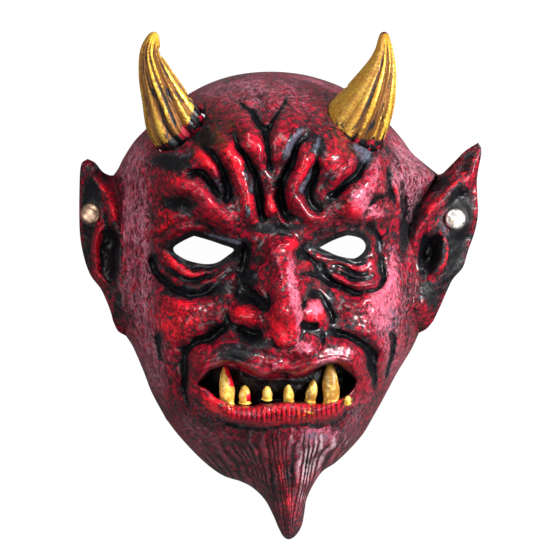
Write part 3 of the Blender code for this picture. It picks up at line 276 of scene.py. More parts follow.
# Creases: depth, half width and path.
CREASES = [
    # forehead
    (4.4, 1.9, [(-25, 96, .4), (-18.5, 90, .7), (-13, 83.5, 1.0), (-9, 76.5, 1.1), (-6.0, 69, 1),
                (-4.4, 60, 1.1), (-3.4, 51, 1.3)]),
    (3.6, 1.7, [(5, 97, .3), (-.5, 88.3, .6), (-4.0, 81, .9), (-7.3, 74.5, .8)]),
    (4.8, 1.9, [(-26, 77.5, .7), (-20.3, 68.5, 1), (-15.7, 60, 1.2), (-12.6, 52, 1.3), (-11.2, 44, 1.4),
                (-10.8, 36, 1.5), (-11.7, 28, 1.3)]),
    (4.6, 2.0, [(-42, 71, .6), (-35.5, 66.5, .9), (-30.3, 59.5, 1.0), (-28, 51, 1.15), (-27, 44, 1.2),
                (-27.5, 37.5, .9)]),
    (4.2, 1.7, [(-50, 56.0, .6), (-42.5, 55.6, 1), (-37, 52.5, 1.1), (-33, 47, 1.1), (-30, 41.5, 1)]),
    (5.0, 2.2, [(16.5, 80, .5), (12.0, 73.5, .9), (7.6, 67, 1), (4.2, 60.5, 1.1), (1.8, 54, 1.2),
                (.8, 47, 1.35), (1.8, 40, 1.4), (5.2, 34, 1.3), (10, 29.5, .9)]),
    (4.8, 2.1, [(19.3, 69, .6), (18.0, 60, 1), (15.7, 52, 1.1), (14.0, 46, 1.2), (14.9, 40.3, 1.3),
                (19.2, 36.3, 1.1), (25, 34.4, .5)]),
    (5.0, 1.8, [(48, 68, .5), (42.0, 61.8, 1), (37.2, 54.8, 1.1), (31.6, 49.2, 1.2), (25.6, 46.1, 1.1),
                (18.5, 45.5, .8)]),
    (3.8, 1.6, [(53, 44.5, .5), (46.8, 41.7, 1), (42.2, 37.7, 1), (38.3, 32.6, .8)]),
    (2.6, 1.8, [(55, 64, .6), (54.8, 53, 1), (54.3, 45, .9), (56.3, 36, .6)]),
    (3.0, 1.8, [(41, 31, .6), (45.3, 27.5, 1), (49, 22.5, 1), (49.8, 14, .8)]),
    (1.8, 1.5, [(62, 52, .6), (60.8, 43, 1), (61, 34, 1), (60.3, 24, .8)]),
    # lids
    (2.0, 1.1, [(-60.3, 12, .7), (-56.6, 6, 1), (-51.5, 3, 1), (-45.5, 1.9, 1), (-39, 2.3, 1),
                (-32, 5.2, .7)]),
    (4.8, 2.3, [(-65, 23, .5), (-64, 13, .8), (-61.3, 5, 1), (-56.3, -1.3, 1.2), (-49, -4.8, 1.3),
                (-41, -5, 1.3), (-34, -2.5, 1.1), (-28, 1, .8)]),
    (1.8, 1.0, [(19, 13.5, .6), (26, 9.4, .9), (33, 6.7, 1), (40, 6.6, 1), (45.5, 9.8, 1)]),
    (1.8, 1.0, [(21, 9, .6), (27.5, 5, .9), (34, 2.9, 1), (40.5, 2.9, 1), (46, 6.2, 1)]),
    (3.8, 1.8, [(18, 11, .5), (20.3, 6.3, .8), (26, .8, 1), (33, -3, 1.1), (40, -4.8, 1.2), (47, -2.3, 1.2),
                (50.7, 4, 1.1), (51.2, 11, .9), (50.5, 20, .7)]),
    (2.2, 1.0, [(10.5, 19.5, .6), (14, 14.6, 1), (17, 11, 1), (19.3, 6.5, .8)]),
    # nose
    (4.0, 3.0, [(-17, 24, .6), (-18, 14, 1), (-19, 5, 1), (-23, 0, .8)]),
    (4.8, 2.0, [(-28, -10, .6), (-26.3, -17, 1), (-20, -22.6, .95), (-12.5, -24.3, .75), (-7.5, -27, .6)]),
    (3.0, 1.2, [(-7.5, -22, .5), (-5.6, -27, .9), (-2.4, -31.6, 1), (2.4, -33, 1), (7.6, -31.2, 1),
                (10.8, -26.5, .9), (12, -21, .5)]),
    (1.6, 1.0, [(-14, -29, .5), (-9, -34, 1), (-3, -38, 1), (3, -38.5, .6)]),
    (4.0, 1.3, [(12.5, -4.6, .6), (15, -4.8, 1), (19.3, -5.2, 1), (23.8, -9.3, 1), (25.2, -15, 1),
                (23, -21, .8)]),
    (2.2, 1.1, [(9.5, -3, .6), (11.2, -9, 1), (12, -15, 1), (12.6, -20, 1), (11.3, -27, .6)]),
    (2.0, 1.1, [(6.5, 4, .6), (12, 5.8, 1), (18.5, 3.8, .7)]),
    (2.8, 1.1, [(20, -21, .6), (20.7, -28, 1), (17.2, -34, 1), (11.7, -38, 1), (4, -40.3, .7)]),
    # cheeks
    (7.0, 3.0, [(-26.5, -14, .5), (-28.5, -20, .8), (-34.5, -25, 1), (-41.5, -31, 1.1), (-46.8, -37, 1.1),
                (-48.2, -46, 1), (-47.5, -57, .8), (-44, -68, .5)]),
    (6.5, 2.4, [(23.5, -20, .6), (28.5, -24.3, .9), (35, -27.8, 1), (41.6, -32, 1.1), (45.5, -40, 1.1),
                (46, -49, .9), (44, -60, .6)]),
    (4.2, 1.6, [(55, -20, .6), (55.7, -28, 1), (55, -36, 1.1), (52.7, -44, .9), (49, -52, .5)]),
    (4.0, 2.6, [(-61, -21, .6), (-62, -28, 1), (-60.5, -35, .9), (-57.5, -42, .5)]),
    # chin
    (0.5, 1.6, [(-38, -60, .5), (-31.5, -66.7, .8), (-23, -70.7, 1), (-12, -71.3, 1), (0, -70.6, 1),
                (12, -70.3, 1), (22, -70, 1), (31, -66, .8), (36, -59, .5)]),
    (1.6, 2.0, [(-38, -58, .5), (-33, -64.5, 1), (-26, -69.2, 1), (-17, -71.2, .6)]),
    (1.6, 1.8, [(20, -70, .5), (28, -67, 1), (34, -61, 1), (38.5, -53, .6)]),
    # torn edges of skin round the horns' feet
    (2.2, 0.8, [(-45.5, 96, .6), (-40.5, 95, 1), (-38.8, 89, 1), (-40.2, 81, 1), (-46.5, 75, 1),
                (-54.5, 71, .7)]),
    (2.6, 0.9, [(20.5, 96, .6), (22.8, 92.5, 1), (25.3, 88.5, .8)]),
    (1.8, 0.8, [(27, 77, .6), (36, 72.6, 1), (44, 70.6, 1), (51, 71, .6)]),
    # ears
    (2.0, 2.2, [(-97.5, 55, .6), (-97.3, 44, 1), (-97, 26, 1), (-95, 12, .9), (-91.5, 2, .7)]),
    (1.0, 2.4, [(95, 44, .6), (94.5, 34, 1), (92, 22, 1), (87.5, 11, 1), (82, 1, .7)]),
]

# Rounded swellings and hollows: height, x, y, two radii, turn in degrees, and how flat the top is.
MOUNDS = [
    (3.0, -24, 78, 22, 17, -25, 2), (3.0, 22, 80, 20, 16, 20, 2), (-5.0, -3, 38, 12, 15, 0, 2),
    (-3.5, -37, 76, 7, 8, 0, 2), (4.8, 28, 62.5, 10, 10.5, 0, 2.8), (3.0, 47.5, 36.5, 6.5, 4.5, 0, 2.5),
    (-3.8, -52, 40, 9.5, 5.5, -5, 2), (-2.6, 22, 41, 6, 4.5, 20, 2), (-13.0, -41, 13, 25, 16, 0, 2.6),
    (6.0, -39.5, 17, 17, 9.5, -8, 2.5), (-13.0, 32, 13.5, 21, 15, 0, 2.6),
    (6.0, 32.5, 17.5, 14.5, 8.5, 5, 2.5), (7.0, 1, -6, 17, 26, 0, 2.4), (3.0, -8, 6, 8, 14, 0, 2),
    (7.6, 1.3, -21, 12.6, 12.6, 0, 3.6), (9.0, -18, -16, 8.4, 6.4, -6, 3),
    (8.5, 17.6, -13.7, 6.5, 7.6, 0, 3), (-4.5, -18, -4.5, 6.5, 4.6, -20, 2.2),
    (-4.5, 15.8, -20.6, 3.6, 1.4, 5, 2.4), (4.4, 12, -32, 7.5, 4.6, 32, 2.4),
    (2.6, -4, -39.5, 4, 3, -40, 2), (3.0, 5, 19.5, 4, 3.4, 0, 2.4), (7.0, -54, -14, 17, 14, 0, 2),
    (8.0, 49, -12, 13, 14, 0, 2), (12.0, -1, -45, 46, 25, 0, 2.4), (4.6, 4, -78, 27, 8.5, 0, 2.2),
    (-7.0, -85.3, 14, 4.6, 16, 0, 3), (-8.0, 74.5, 15, 6.4, 10.5, -18, 3), (1.6, 71, -13, 4.5, 8, 0, 2),
    (2.5, -20.5, -47, 2.6, 3.2, 0, 2.4), (2.0, 30.4, -46.6, 1.8, 2.4, 0, 2.4),
    (3.0, 11.5, 10.3, 4, 3.4, 0, 2.4),
]

# The even grid that the carving is worked out on, in millimetres.
FIELD_STEP = 0.5
FIELD_X = np.arange(-108, 109, FIELD_STEP)
FIELD_Y = np.arange(-134, 115, FIELD_STEP)
INSIDE_REACH = 12
INSIDE_BLUR = 6.0
# Unevenness of the skin: its usual height, and its spread in steps of the grid.
UNEVEN = [(0.13, 1.8), (0.24, 4.5), (0.40, 11.0)]
# How far the hand strays from the drawn strokes, over what spread, and the seeds of its noise.
WOBBLE = 0.75
WOBBLE_SPREAD = 7.0
WOBBLE_SEEDS = (3, 4)
# The spreads that hollows and ridges are told by, in steps of the grid, and how strongly each shows
# against the widest spread and the middle one.
DETAIL_SPREADS = (1.0, 5, 14)
HOLLOW_SHARES = (0.20, 0.42)
RIDGE_SHARES = (0.22, 0.40)
# Where the skin is more uneven: strength, x, y and two radii.
PEBBLY = [
    (1.5, 50, -12, 10, 14), (1.2, -52, -20, 15, 14), (0.5, 72, -12, 6, 9), (0.8, 48, 45, 9, 12),
    (0.7, -20, 55, 6, 16), (0.9, -45, 48, 12, 6), (1.0, 55, -38, 5, 12),
]


def smooth_path(points, steps):
    """Points along the Catmull-Rom curve through the given ones."""
    p = np.asarray(points, float)
    padded = np.vstack([2 * p[0] - p[1], p, 2 * p[-1] - p[-2]])
    t = np.linspace(0, 1, steps, endpoint=False)[:, None]
    parts = []
    for k in range(len(p) - 1):
        a, b, c, d = padded[k : k + 4]
        parts.append(0.5 * (2 * b + (c - a) * t + (2 * a - 5 * b + 4 * c - d) * t**2
                            + (3 * b - a - 3 * c + d) * t**3))
    return np.vstack(parts + [p[-1:]])


def even(points, count, deep=False):
    """count + 1 points at equal steps along the curve through the given ones."""
    line = smooth_path(points, 12)
    steps = np.linalg.norm(np.diff(line[:, : 3 if deep else 2], axis=0), axis=1)
    length = np.concatenate([[0], np.cumsum(steps)])
    at = np.linspace(0, length[-1], count + 1)
    return np.column_stack([np.interp(at, length, column) for column in line.T])


def smoothstep(t):
    """Rises from 0 to 1 as t does, with level ends."""
    t = np.clip(t, 0, 1)
    return t * t * (3 - 2 * t)


def near_ends(t):
    """Even steps from 0 to 1 that shorten toward both ends, for the steep wall at the rim."""
    e = RIM_SHARE
    low = t**2 / (2 * e)
    high = 1 - e - (1 - t) ** 2 / (2 * e)
    return np.where(t < e, low, np.where(t > 1 - e, high, t - e / 2)) / (1 - e)


def to_line(x, y, line, closed=False):
    """Distance to a line of points, and the share of the line passed at the nearest one."""
    a = line[:, :2] if closed else line[:-1, :2]
    b = np.roll(line[:, :2], -1, axis=0) if closed else line[1:, :2]
    best = np.full(len(x), 1e12)
    share = np.zeros(len(x))
    for k, (p, d) in enumerate(zip(a, b - a)):
        t = np.clip(((x - p[0]) * d[0] + (y - p[1]) * d[1]) / max((d**2).sum(), 1e-12), 0, 1)
        square = (x - p[0] - t * d[0]) ** 2 + (y - p[1] - t * d[1]) ** 2
        nearer = square < best
        best[nearer] = square[nearer]
        share[nearer] = (k + t[nearer]) / len(a)
    return np.sqrt(best), share


def inside(x, y, shape):
    """Whether each point lies inside a closed outline, by counting the edges it passes."""
    p = np.asarray(shape, float)
    count = np.zeros(len(x), int)
    for (ax, ay), (bx, by) in zip(p, np.roll(p, -1, axis=0)):
        if ay != by:
            count += ((ay > y) != (by > y)) & (x < (bx - ax) * (y - ay) / (by - ay) + ax)
    return count % 2 == 1


def depth_in(x, y, shape):
    """Distance to a closed outline, positive inside it."""
    edge = np.array(shape, float)
    return np.where(inside(x, y, edge), 1, -1) * to_line(x, y, edge, closed=True)[0]


# How many half widths a stroke reaches, and the share of its length over which each end fades.
STROKE_REACH = 2.6
END_FADE = 0.22


def stroke(x, y, height, width, path, power=2.0):
    """A carved line: height times exp(-(distance / width) to a power), fading at both ends."""
    line = smooth_path([(p + (1,))[:3] for p in path], 5)
    reach = STROKE_REACH * width * line[:, 2].max()
    low = line[:, :2].min(axis=0) - reach
    high = line[:, :2].max(axis=0) + reach
    near = (x > low[0]) & (x < high[0]) & (y > low[1]) & (y < high[1])
    out = np.zeros(len(x))
    if near.any():
        far, share = to_line(x[near], y[near], line)
        size = np.interp(share, np.linspace(0, 1, len(line)), line[:, 2])
        ends = smoothstep(share / END_FADE) * smoothstep((1 - share) / END_FADE)
        out[near] = height * size * ends * np.exp(-((far / (width * size)) ** power))
    return out


def mound(x, y, height, cx, cy, rx, ry, turn=0, power=2):
    """A rounded swelling or hollow: height times exp(-r to a power) on an oval base."""
    c, s = np.cos(np.radians(turn)), np.sin(np.radians(turn))
    u = (c * (x - cx) + s * (y - cy)) / rx
    v = (c * (y - cy) - s * (x - cx)) / ry
    return height * np.exp(-((u * u + v * v) ** (power / 2)))


def relief(x, y):
    """All the carving on the face and ears, as height over the plain form."""
    total = sum(stroke(x, y, *row, FOLD_POWER) for row in FOLDS)
    total -= sum(stroke(x, y, *row, CREASE_POWER) for row in CREASES)
    total += sum(mound(x, y, *row) for row in MOUNDS)
    start, width = MOUTH_WALL
    return total - MOUTH_DEPTH * smoothstep((depth_in(x, y, MOUTH) + start) / width)


# Where the beard's strands run together, its waves to half a turn, and how high the strands are.
BEARD_FOOT = (4.2, -134)
FINE_STRANDS = 56
BROAD_STRANDS = 23
STRAND_HEIGHT = 1.2
# The middle of the lower lip, the space between two of its lines, and how deep they are.
LOWER_LIP = [(-33, -60), (-16, -65), (8, -64.7), (26, -61.5), (32, -57)]
LIP_LINE = 2.5
LIP_LINE_DEPTH = 0.6


def beard_fan(x, y):
    """Direction of each point from below the beard, in degrees, gently waved, and the beard's share."""
    turn = np.degrees(np.arctan2(x - BEARD_FOOT[0], np.maximum(y - BEARD_FOOT[1], 6)))
    turn += 1.5 * np.sin(turn * 0.35 + y * 0.05)
    start = -74 - 3 * np.sin(x * 0.9) - 2 * np.sin(x * 2.1) - 0.004 * (x - 6) ** 2
    return turn, smoothstep((start - y) / 7)


def strands(x, y):
    """Beard strands from -1 to 1: waves across lines that run together below the beard's point."""
    turn, share = beard_fan(x, y)
    fine = np.abs(np.sin(np.radians(turn * FINE_STRANDS))) ** 0.7 - 0.5
    broad = np.sin(np.radians(turn * BROAD_STRANDS) + y * 0.04)
    return (0.8 * fine + 0.5 * broad) * share


def lip_lines(x, y):
    """Short upright lines across the lower lip, from 0 to 1, and the strip that holds them."""
    far, share = to_line(x, y, smooth_path(LOWER_LIP, 8))
    across = np.exp(-((far / 3.6) ** 4)) * smoothstep(share / 0.2) * smoothstep((1 - share) / 0.2)
    return np.abs(np.cos(x * np.pi / LIP_LINE)) ** 3 * across, across


def blur(field, spread):
    """The field smoothed by a bell of the given spread, in steps of the field."""
    reach = int(3 * spread) + 1
    kernel = np.exp(-0.5 * (np.arange(-reach, reach + 1) / spread) ** 2)
    kernel /= kernel.sum()
    for axis in (0, 1):
        field = sum(w * np.roll(field, k - reach, axis=axis) for k, w in enumerate(kernel))
    return field


def lowest_near(field, reach):
    """The lowest value within reach steps of each point."""
    for axis in (0, 1):
        field = np.min([np.roll(field, k, axis=axis) for k in range(-reach, reach + 1)], axis=0)
    return field


def sample(field, x, y):
    """The field's value between its grid points."""
    fx = np.clip((x - FIELD_X[0]) / FIELD_STEP, 0, len(FIELD_X) - 1.001)
    fy = np.clip((y - FIELD_Y[0]) / FIELD_STEP, 0, len(FIELD_Y) - 1.001)
    i, j = fy.astype(int), fx.astype(int)
    u, v = fx - j, fy - i
    top = field[i, j] * (1 - u) + field[i, j + 1] * u
    bottom = field[i + 1, j] * (1 - u) + field[i + 1, j + 1] * u
    return top * (1 - v) + bottom * v


def head_edge():
    """The closed edge of the face."""
    sides = [CROWN, RIGHT_CROWN, RIGHT_ROOT, RIGHT_JAW, CHIN[::-1], LEFT_JAW[::-1], LEFT_ROOT[::-1],
             LEFT_CROWN[::-1]]
    return np.vstack([even(side, 8 * len(side))[:-1] for side in sides])


FREE_RIM = [np.vstack([even(side, 8 * len(side)) for side in (LEFT_CROWN[::-1], CROWN, RIGHT_CROWN)]),
            np.vstack([even(side, 8 * len(side)) for side in (LEFT_JAW, CHIN, RIGHT_JAW[::-1])])]
ROOTS = [even(LEFT_ROOT, 60), even(RIGHT_ROOT, 60)]


def ear_window(y):
    """1 beside the ears and 0 along the free rim."""
    return smoothstep((58 - y) / 24) * smoothstep((y + 27) / 16)


# How far in from the edge the head rises: at the sides, how much more at the crown, and how much less
# at the chin.
SIDE_REACH, CROWN_REACH, CHIN_REACH = 25, 14, 13


def head_base(x, y, ring):
    """Plain form of the head, and how much of the carving each point takes.

    The distance from the edge is 1 / sqrt(1 / free² + 1 / root²), of the distances to the free rim
    and to the ears' roots, so that no ridge runs in from where these meet. The height over the edge is
    the middle line's, lower toward both sides, times sqrt(1 - (1 - t)²) at the rim and the gentler
    1 - (1 - t)^1.7 beside the ears, where t is the distance's share of the reach.
    """
    free = np.minimum(to_line(x, y, FREE_RIM[0])[0], to_line(x, y, FREE_RIM[1])[0])
    root = np.minimum(to_line(x, y, ROOTS[0])[0], to_line(x, y, ROOTS[1])[0])
    far = free * root / np.maximum(np.hypot(free, root), 1e-9)
    far[~inside(x, y, ring)] = 0
    line = smooth_path(PROFILE, 12)
    top = np.interp(y, line[:, 0], line[:, 1])
    top *= 1 - 0.28 * np.abs((x - FACE_MIDDLE) / 72).clip(0, 1.3) ** 2.6
    reach = SIDE_REACH + CROWN_REACH * smoothstep((y - 45) / 45) - CHIN_REACH * smoothstep((-80 - y) / 25)
    t = np.clip(far / reach, 0, 1)
    window = ear_window(y)
    roll = np.sqrt(1 - (1 - t) ** 2) * (1 - window) + (1 - (1 - t) ** 1.7) * window
    floor = np.where(x < FACE_MIDDLE, LEFT_EAR["valley"], RIGHT_EAR["valley"]) * window
    floor = floor * smoothstep((np.abs(x - FACE_MIDDLE) - 20) / 30)
    share = smoothstep(far / 9) * (1 - window) + window
    return floor + (top - floor) * roll, share


def coons(top, bottom, left, right, across, down):
    """A grid of points between four edges: the two blends of opposite edges, less the corners'."""
    g = across[None, :, None]
    f = down[:, None, None]
    corners = ((1 - g) * (1 - f) * top[0] + g * (1 - f) * top[-1]
               + (1 - g) * f * bottom[0] + g * f * bottom[-1])
    return (1 - f) * top[None] + f * bottom[None] + (1 - g) * left[:, None] + g * right[:, None] - corners


def head_points():
    """Drawn points of the head, in rows from the crown to the chin."""
    sides = []
    for crown, root, jaw in ((LEFT_CROWN, LEFT_ROOT, LEFT_JAW), (RIGHT_CROWN, RIGHT_ROOT, RIGHT_JAW)):
        sides.append(np.vstack([even(crown, CROWN_ROWS)[:-1], even(root, EAR_ROWS)[:-1],
                                even(jaw, JAW_ROWS)]))
    rows = CROWN_ROWS + EAR_ROWS + JAW_ROWS
    across = near_ends(np.linspace(0, 1, COLUMNS + 1))
    down = near_ends(np.linspace(0, 1, rows + 1))
    return coons(even(CROWN, COLUMNS), even(CHIN, COLUMNS), sides[0], sides[1], across, down)


def ear_points(name, rows, columns):
    """Drawn points and plain heights of an ear, in rows from its tip to its lobe."""
    ear = EARS[name]
    root = even(ear["root"], rows)
    root = np.column_stack([root, ear["valley"] * ear_window(root[:, 1])])
    return coons(even(ear["top"], columns), even(ear["base"], columns), root, even(ear["outer"], rows),
                 np.linspace(0, 1, columns + 1), np.linspace(0, 1, rows + 1))


def rivet_seat(name):
    """Height of the ear's flat spot at its rivet, read from the same coarse rows as the solid's."""
    grid = ear_points(name, 28, 6).reshape(-1, 3)
    x, y = EARS[name]["rivet"]
    weight = np.exp(-((np.hypot(grid[:, 0] - x, grid[:, 1] - y) / 4) ** 2))
    return float((grid[:, 2] * weight).sum() / weight.sum()) + RIVET_RISE


def flatten(points, name, reach):
    """Ear points with a level spot under the rivet's caps."""
    x, y = EARS[name]["rivet"]
    lean = EARS[name]["lean"]
    plane = rivet_seat(name) + lean[0] * (points[..., 0] - x) + lean[1] * (points[..., 1] - y)
    flat = 1 - smoothstep((np.hypot(points[..., 0] - x, points[..., 1] - y) - reach) / RIVET_BLEND)
    points[..., 2] += (plane - points[..., 2]) * flat
    return points


def real(points):
    """Drawn points and heights as they really lie, allowing for the viewer's distance."""
    points = np.asarray(points, float)
    nearer = 1 - points[..., 2:3] / VIEW_DISTANCE
    flat = SIGHT + (points[..., :2] - SIGHT) * nearer - MIDDLE
    return np.concatenate([flat, points[..., 2:3]], axis=-1)


def drawn(points):
    """x and y as the viewer sees real points, the reverse of real."""
    return SIGHT + (points[:, :2] + MIDDLE - SIGHT) / (1 - points[:, 2:3] / VIEW_DISTANCE)


def fields():
    """The carving and what the paint follows, each as values on the even grid.

    The carving is the relief read at slightly strayed places, plus lumps of three sizes. A hollow lies
    below its blurred surroundings and a ridge above them.
    """
    gx, gy = np.meshgrid(FIELD_X, FIELD_Y)
    pushes = [blur(np.random.default_rng(seed).normal(size=gx.shape), WOBBLE_SPREAD)
              for seed in WOBBLE_SEEDS]
    wx, wy = (WOBBLE * push / push.std() for push in pushes)
    carved = relief((gx + wx).ravel(), (gy + wy).ravel()).reshape(gx.shape)
    plain = carved
    rough = 1 + sum(mound(gx, gy, *row) for row in PEBBLY)
    for size, spread in UNEVEN:
        lumps = blur(np.random.default_rng(int(10 * spread)).normal(size=gx.shape), spread)
        carved = carved + size * rough * lumps / lumps.std()
    made = {"carved": carved, "low": blur(lowest_near(plain, INSIDE_REACH), INSIDE_BLUR)}
    fine, middle, wide = (blur(carved, spread) for spread in DETAIL_SPREADS)
    a, b = HOLLOW_SHARES
    made["hollow"] = np.clip(a * (wide - fine) + b * (middle - fine), 0, 1)
    a, b = RIDGE_SHARES
    made["ridge"] = np.clip(a * (fine - wide) + b * (fine - middle), 0, 1)
    return made


def sheets(made):
    """The mask's outside and its smoother inside form, as grids for the head and both ears."""
    ring = head_edge()
    grids = {"head": head_points(), "left": ear_points("left", EAR_ROWS, EAR_COLUMNS),
             "right": ear_points("right", EAR_ROWS, EAR_COLUMNS)}
    outside, hidden = {}, {}
    for name, grid in grids.items():
        x, y = grid[..., 0].ravel(), grid[..., 1].ravel()
        if name == "head":
            base, share = head_base(x, y, ring)
        else:
            base = grid[..., 2].ravel()
            window = ear_window(np.repeat(grid[:, :1, 1], EAR_COLUMNS + 1, axis=1).ravel())
            off = np.tile(np.linspace(0, 1, EAR_COLUMNS + 1), EAR_ROWS + 1)
            share = window + (1 - window) * smoothstep(2 * off)
        fine = sample(made["carved"], x, y) + STRAND_HEIGHT * strands(x, y)
        fine = fine - LIP_LINE_DEPTH * lip_lines(x, y)[0]
        for store, carving, reach in ((outside, fine, RIVET_FLAT),
                                      (hidden, sample(made["low"], x, y), RIVET_BACK_FLAT)):
            points = np.column_stack([x, y, base + carving * share]).reshape(grid.shape[:2] + (3,))
            store[name] = points if name == "head" else flatten(points, name, reach)
        hidden[name][..., 2] = np.clip(hidden[name][..., 2], 0, np.maximum(outside[name][..., 2], 0))
    for store in (outside, hidden):
        first, last = CROWN_ROWS, CROWN_ROWS + EAR_ROWS
        store["left"][:, 0] = store["head"][first : last + 1, 0]
        store["right"][:, 0] = store["head"][first : last + 1, -1]
        free = np.ones(len(store["head"]), bool)
        free[first + 1 : last] = False
        for column in (0, -1):
            store["head"][free, column, 2] = 0
        store["head"][[0, -1], :, 2] = 0
    return outside, hidden


def number(grids):
    """An index for each grid point, with the ears' first columns taken from the head."""
    head = np.arange(grids["head"].shape[0] * grids["head"].shape[1]).reshape(grids["head"].shape[:2])
    index = {"head": head}
    used = head.size
    step = EAR_ROWS // (grids["left"].shape[0] - 1)
    first, last = CROWN_ROWS // step, (CROWN_ROWS + EAR_ROWS) // step
    for name, column in (("left", 0), ("right", -1)):
        rows, columns = grids[name].shape[:2]
        own = used + np.arange(rows * (columns - 1)).reshape(rows, columns - 1)
        used += own.size
        index[name] = np.column_stack([head[first : last + 1, column], own])
    points = np.empty((used, 3))
    for name in ("left", "right", "head"):
        points[index[name].ravel()] = grids[name].reshape(-1, 3)
    return points, index


def quads(index, flip=False):
    """The faces of one grid, turned over where flip says so."""
    a, b, c, d = index[:-1, :-1], index[1:, :-1], index[1:, 1:], index[:-1, 1:]
    order = (a, d, c, b) if flip else (a, b, c, d)
    return np.stack(order, axis=-1).reshape(-1, 4)


def sheet_faces(index):
    """Faces of head and ears that look up."""
    return np.vstack([quads(index["head"]), quads(index["left"], True), quads(index["right"])])


def edge_loop(index):
    """The free edge of a sheet, all the way round from the crown's left end."""
    head, left, right = index["head"], index["left"], index["right"]
    first = int(np.argmax(head[:, 0] == left[0, 0]))
    last = first + len(left) - 1
    return np.concatenate([
        head[0, :-1], head[:first, -1], right[0, :-1], right[:-1, -1], right[-1, :0:-1],
        head[last:-1, -1], head[-1, :0:-1], head[:last:-1, 0],
        left[-1, :-1], left[:0:-1, -1], left[0, :0:-1], head[first:0:-1, 0],
    ])


def normals(points, faces):
    """Smooth normals at the points of a sheet."""
    a, b, c, d = (points[faces[:, k]] for k in range(4))
    face = np.cross(c - a, d - b)
    out = np.zeros_like(points)
    for k in range(4):
        for axis in range(3):
            out[:, axis] += np.bincount(faces[:, k], weights=face[:, axis], minlength=len(points))
    return out / np.maximum(np.linalg.norm(out, axis=1, keepdims=True), 1e-9)


def rim_outward(points, rim):
    """Level directions away from the face along its edge, square to the edge's run over a few points."""
    run = np.roll(points[rim, :2], -4, axis=0) - np.roll(points[rim, :2], 4, axis=0)
    away = np.column_stack([-run[:, 1], run[:, 0], np.zeros(len(run))])
    return away / np.maximum(np.linalg.norm(away, axis=1, keepdims=True), 1e-9)


def rim_faces(outer, inner):
    """Triangles between the outside's edge and the inside's, which has fewer points."""
    s = INSIDE_STEP
    here, after = inner, np.roll(inner, -1)
    edge = np.concatenate([outer, outer[:1]])
    start = np.arange(len(inner)) * s
    made = []
    for k in range(s):
        near = here if k < s // 2 else after
        made.append(np.column_stack([near, edge[start + k], edge[start + k + 1]]))
    made.append(np.column_stack([here, edge[start + s // 2], after]))
    return np.vstack(made)


def mask_arrays(made):
    """Points, quads, triangles and lining mark of the moulding: outside, inside and rim.

    The inside is the smoother form moved inward along its normals by the wall. Along the rim it is
    moved level and stays on the floor.
    """
    outside, hidden = sheets(made)
    outer, index = number({name: real(grid) for name, grid in outside.items()})
    smooth, _ = number({name: real(grid) for name, grid in hidden.items()})
    normal = normals(smooth, sheet_faces(index))
    rim = edge_loop(index)
    on_floor = outer[rim, 2] < 0.01
    level = rim[on_floor]
    away = rim_outward(smooth, rim)
    normal[normal[:, 2] < 0] = [0, 0, 1]
    normal[level] = away[on_floor]
    inner = smooth - normal * WALL
    astray = np.maximum(((inner[rim] - smooth[rim]) * away).sum(axis=1) + RIM_INSET, 0)
    inner[rim] -= away * astray[:, None]
    inner[level, 2] = 0
    inner[:, 2] = np.maximum(inner[:, 2], 0)
    step = INSIDE_STEP
    inner, inner_index = number({name: inner[grid][::step, ::step] for name, grid in index.items()})
    inner_index = {name: grid + len(outer) for name, grid in inner_index.items()}
    four = np.vstack([sheet_faces(index), sheet_faces(inner_index)[:, ::-1]])
    three = rim_faces(rim, edge_loop(inner_index))
    lining = np.concatenate([np.zeros(len(outer)), np.ones(len(inner))])
    return np.vstack([outer, inner]), four, three, lining


def make_object(name, points, four, three=None):
    """An object from points in millimetres, quads and triangles, shaded smooth."""
    three = np.empty((0, 3), int) if three is None else three
    mesh = bpy.data.meshes.new(name)
    mesh.vertices.add(len(points))
    mesh.vertices.foreach_set("co", (np.asarray(points) * UNIT).astype(np.float32).ravel())
    corners = np.concatenate([four.ravel(), three.ravel()]).astype(np.int32)
    starts = np.concatenate([np.arange(len(four)) * 4, len(four) * 4 + np.arange(len(three)) * 3])
    mesh.loops.add(len(corners))
    mesh.loops.foreach_set("vertex_index", corners)
    mesh.polygons.add(len(starts))
    mesh.polygons.foreach_set("loop_start", starts.astype(np.int32))
    mesh.update(calc_edges=True)
    mesh.polygons.foreach_set("use_smooth", np.ones(len(starts), bool))
    made = bpy.data.objects.new(name, mesh)
    bpy.context.scene.collection.objects.link(made)
    return made


def paint(piece, **values):
    """Stores each array as a value at the piece's points, for its material to read."""
    for name, array in values.items():
        layer = piece.data.attributes.new(name, "FLOAT", "POINT")
        layer.data.foreach_set("value", np.asarray(array, np.float32))


def tube_arrays(rings):
    """Points and faces through a stack of rings, with a point at each end, turned to enclose a volume
    above 0, so that the faces look outward."""
    count, sides = rings.shape[:2]
    index = np.arange(count * sides).reshape(count, sides)
    four = quads(np.column_stack([index, index[:, 0]]), True)
    ends = rings[[0, -1]].mean(axis=1)
    low, high = count * sides, count * sides + 1
    first, last = index[0], index[-1]
    three = np.vstack([np.column_stack([np.full(sides, low), np.roll(first, -1), first]),
                       np.column_stack([np.full(sides, high), last, np.roll(last, -1)])])
    points = np.vstack([rings.reshape(-1, 3), ends])
    a, b, c = (points[three[:, k]] for k in range(3))
    p, q, r, s = (points[four[:, k]] for k in range(4))
    volume = np.einsum("ij,ij", a, np.cross(b, c)) + np.einsum("ij,ij", p, np.cross(q, r))
    volume += np.einsum("ij,ij", p, np.cross(r, s))
    return (points, four, three) if volume > 0 else (points, four[:, ::-1], three[:, ::-1])


def join_arrays(parts):
    """Several closed shapes as one set of arrays."""
    points, four, three, used = [], [], [], 0
    for own_points, own_four, own_three in parts:
        points.append(own_points)
        four.append(own_four + used)
        three.append(own_three + used)
        used += len(own_points)
    return np.vstack(points), np.vstack(four), np.vstack(three)


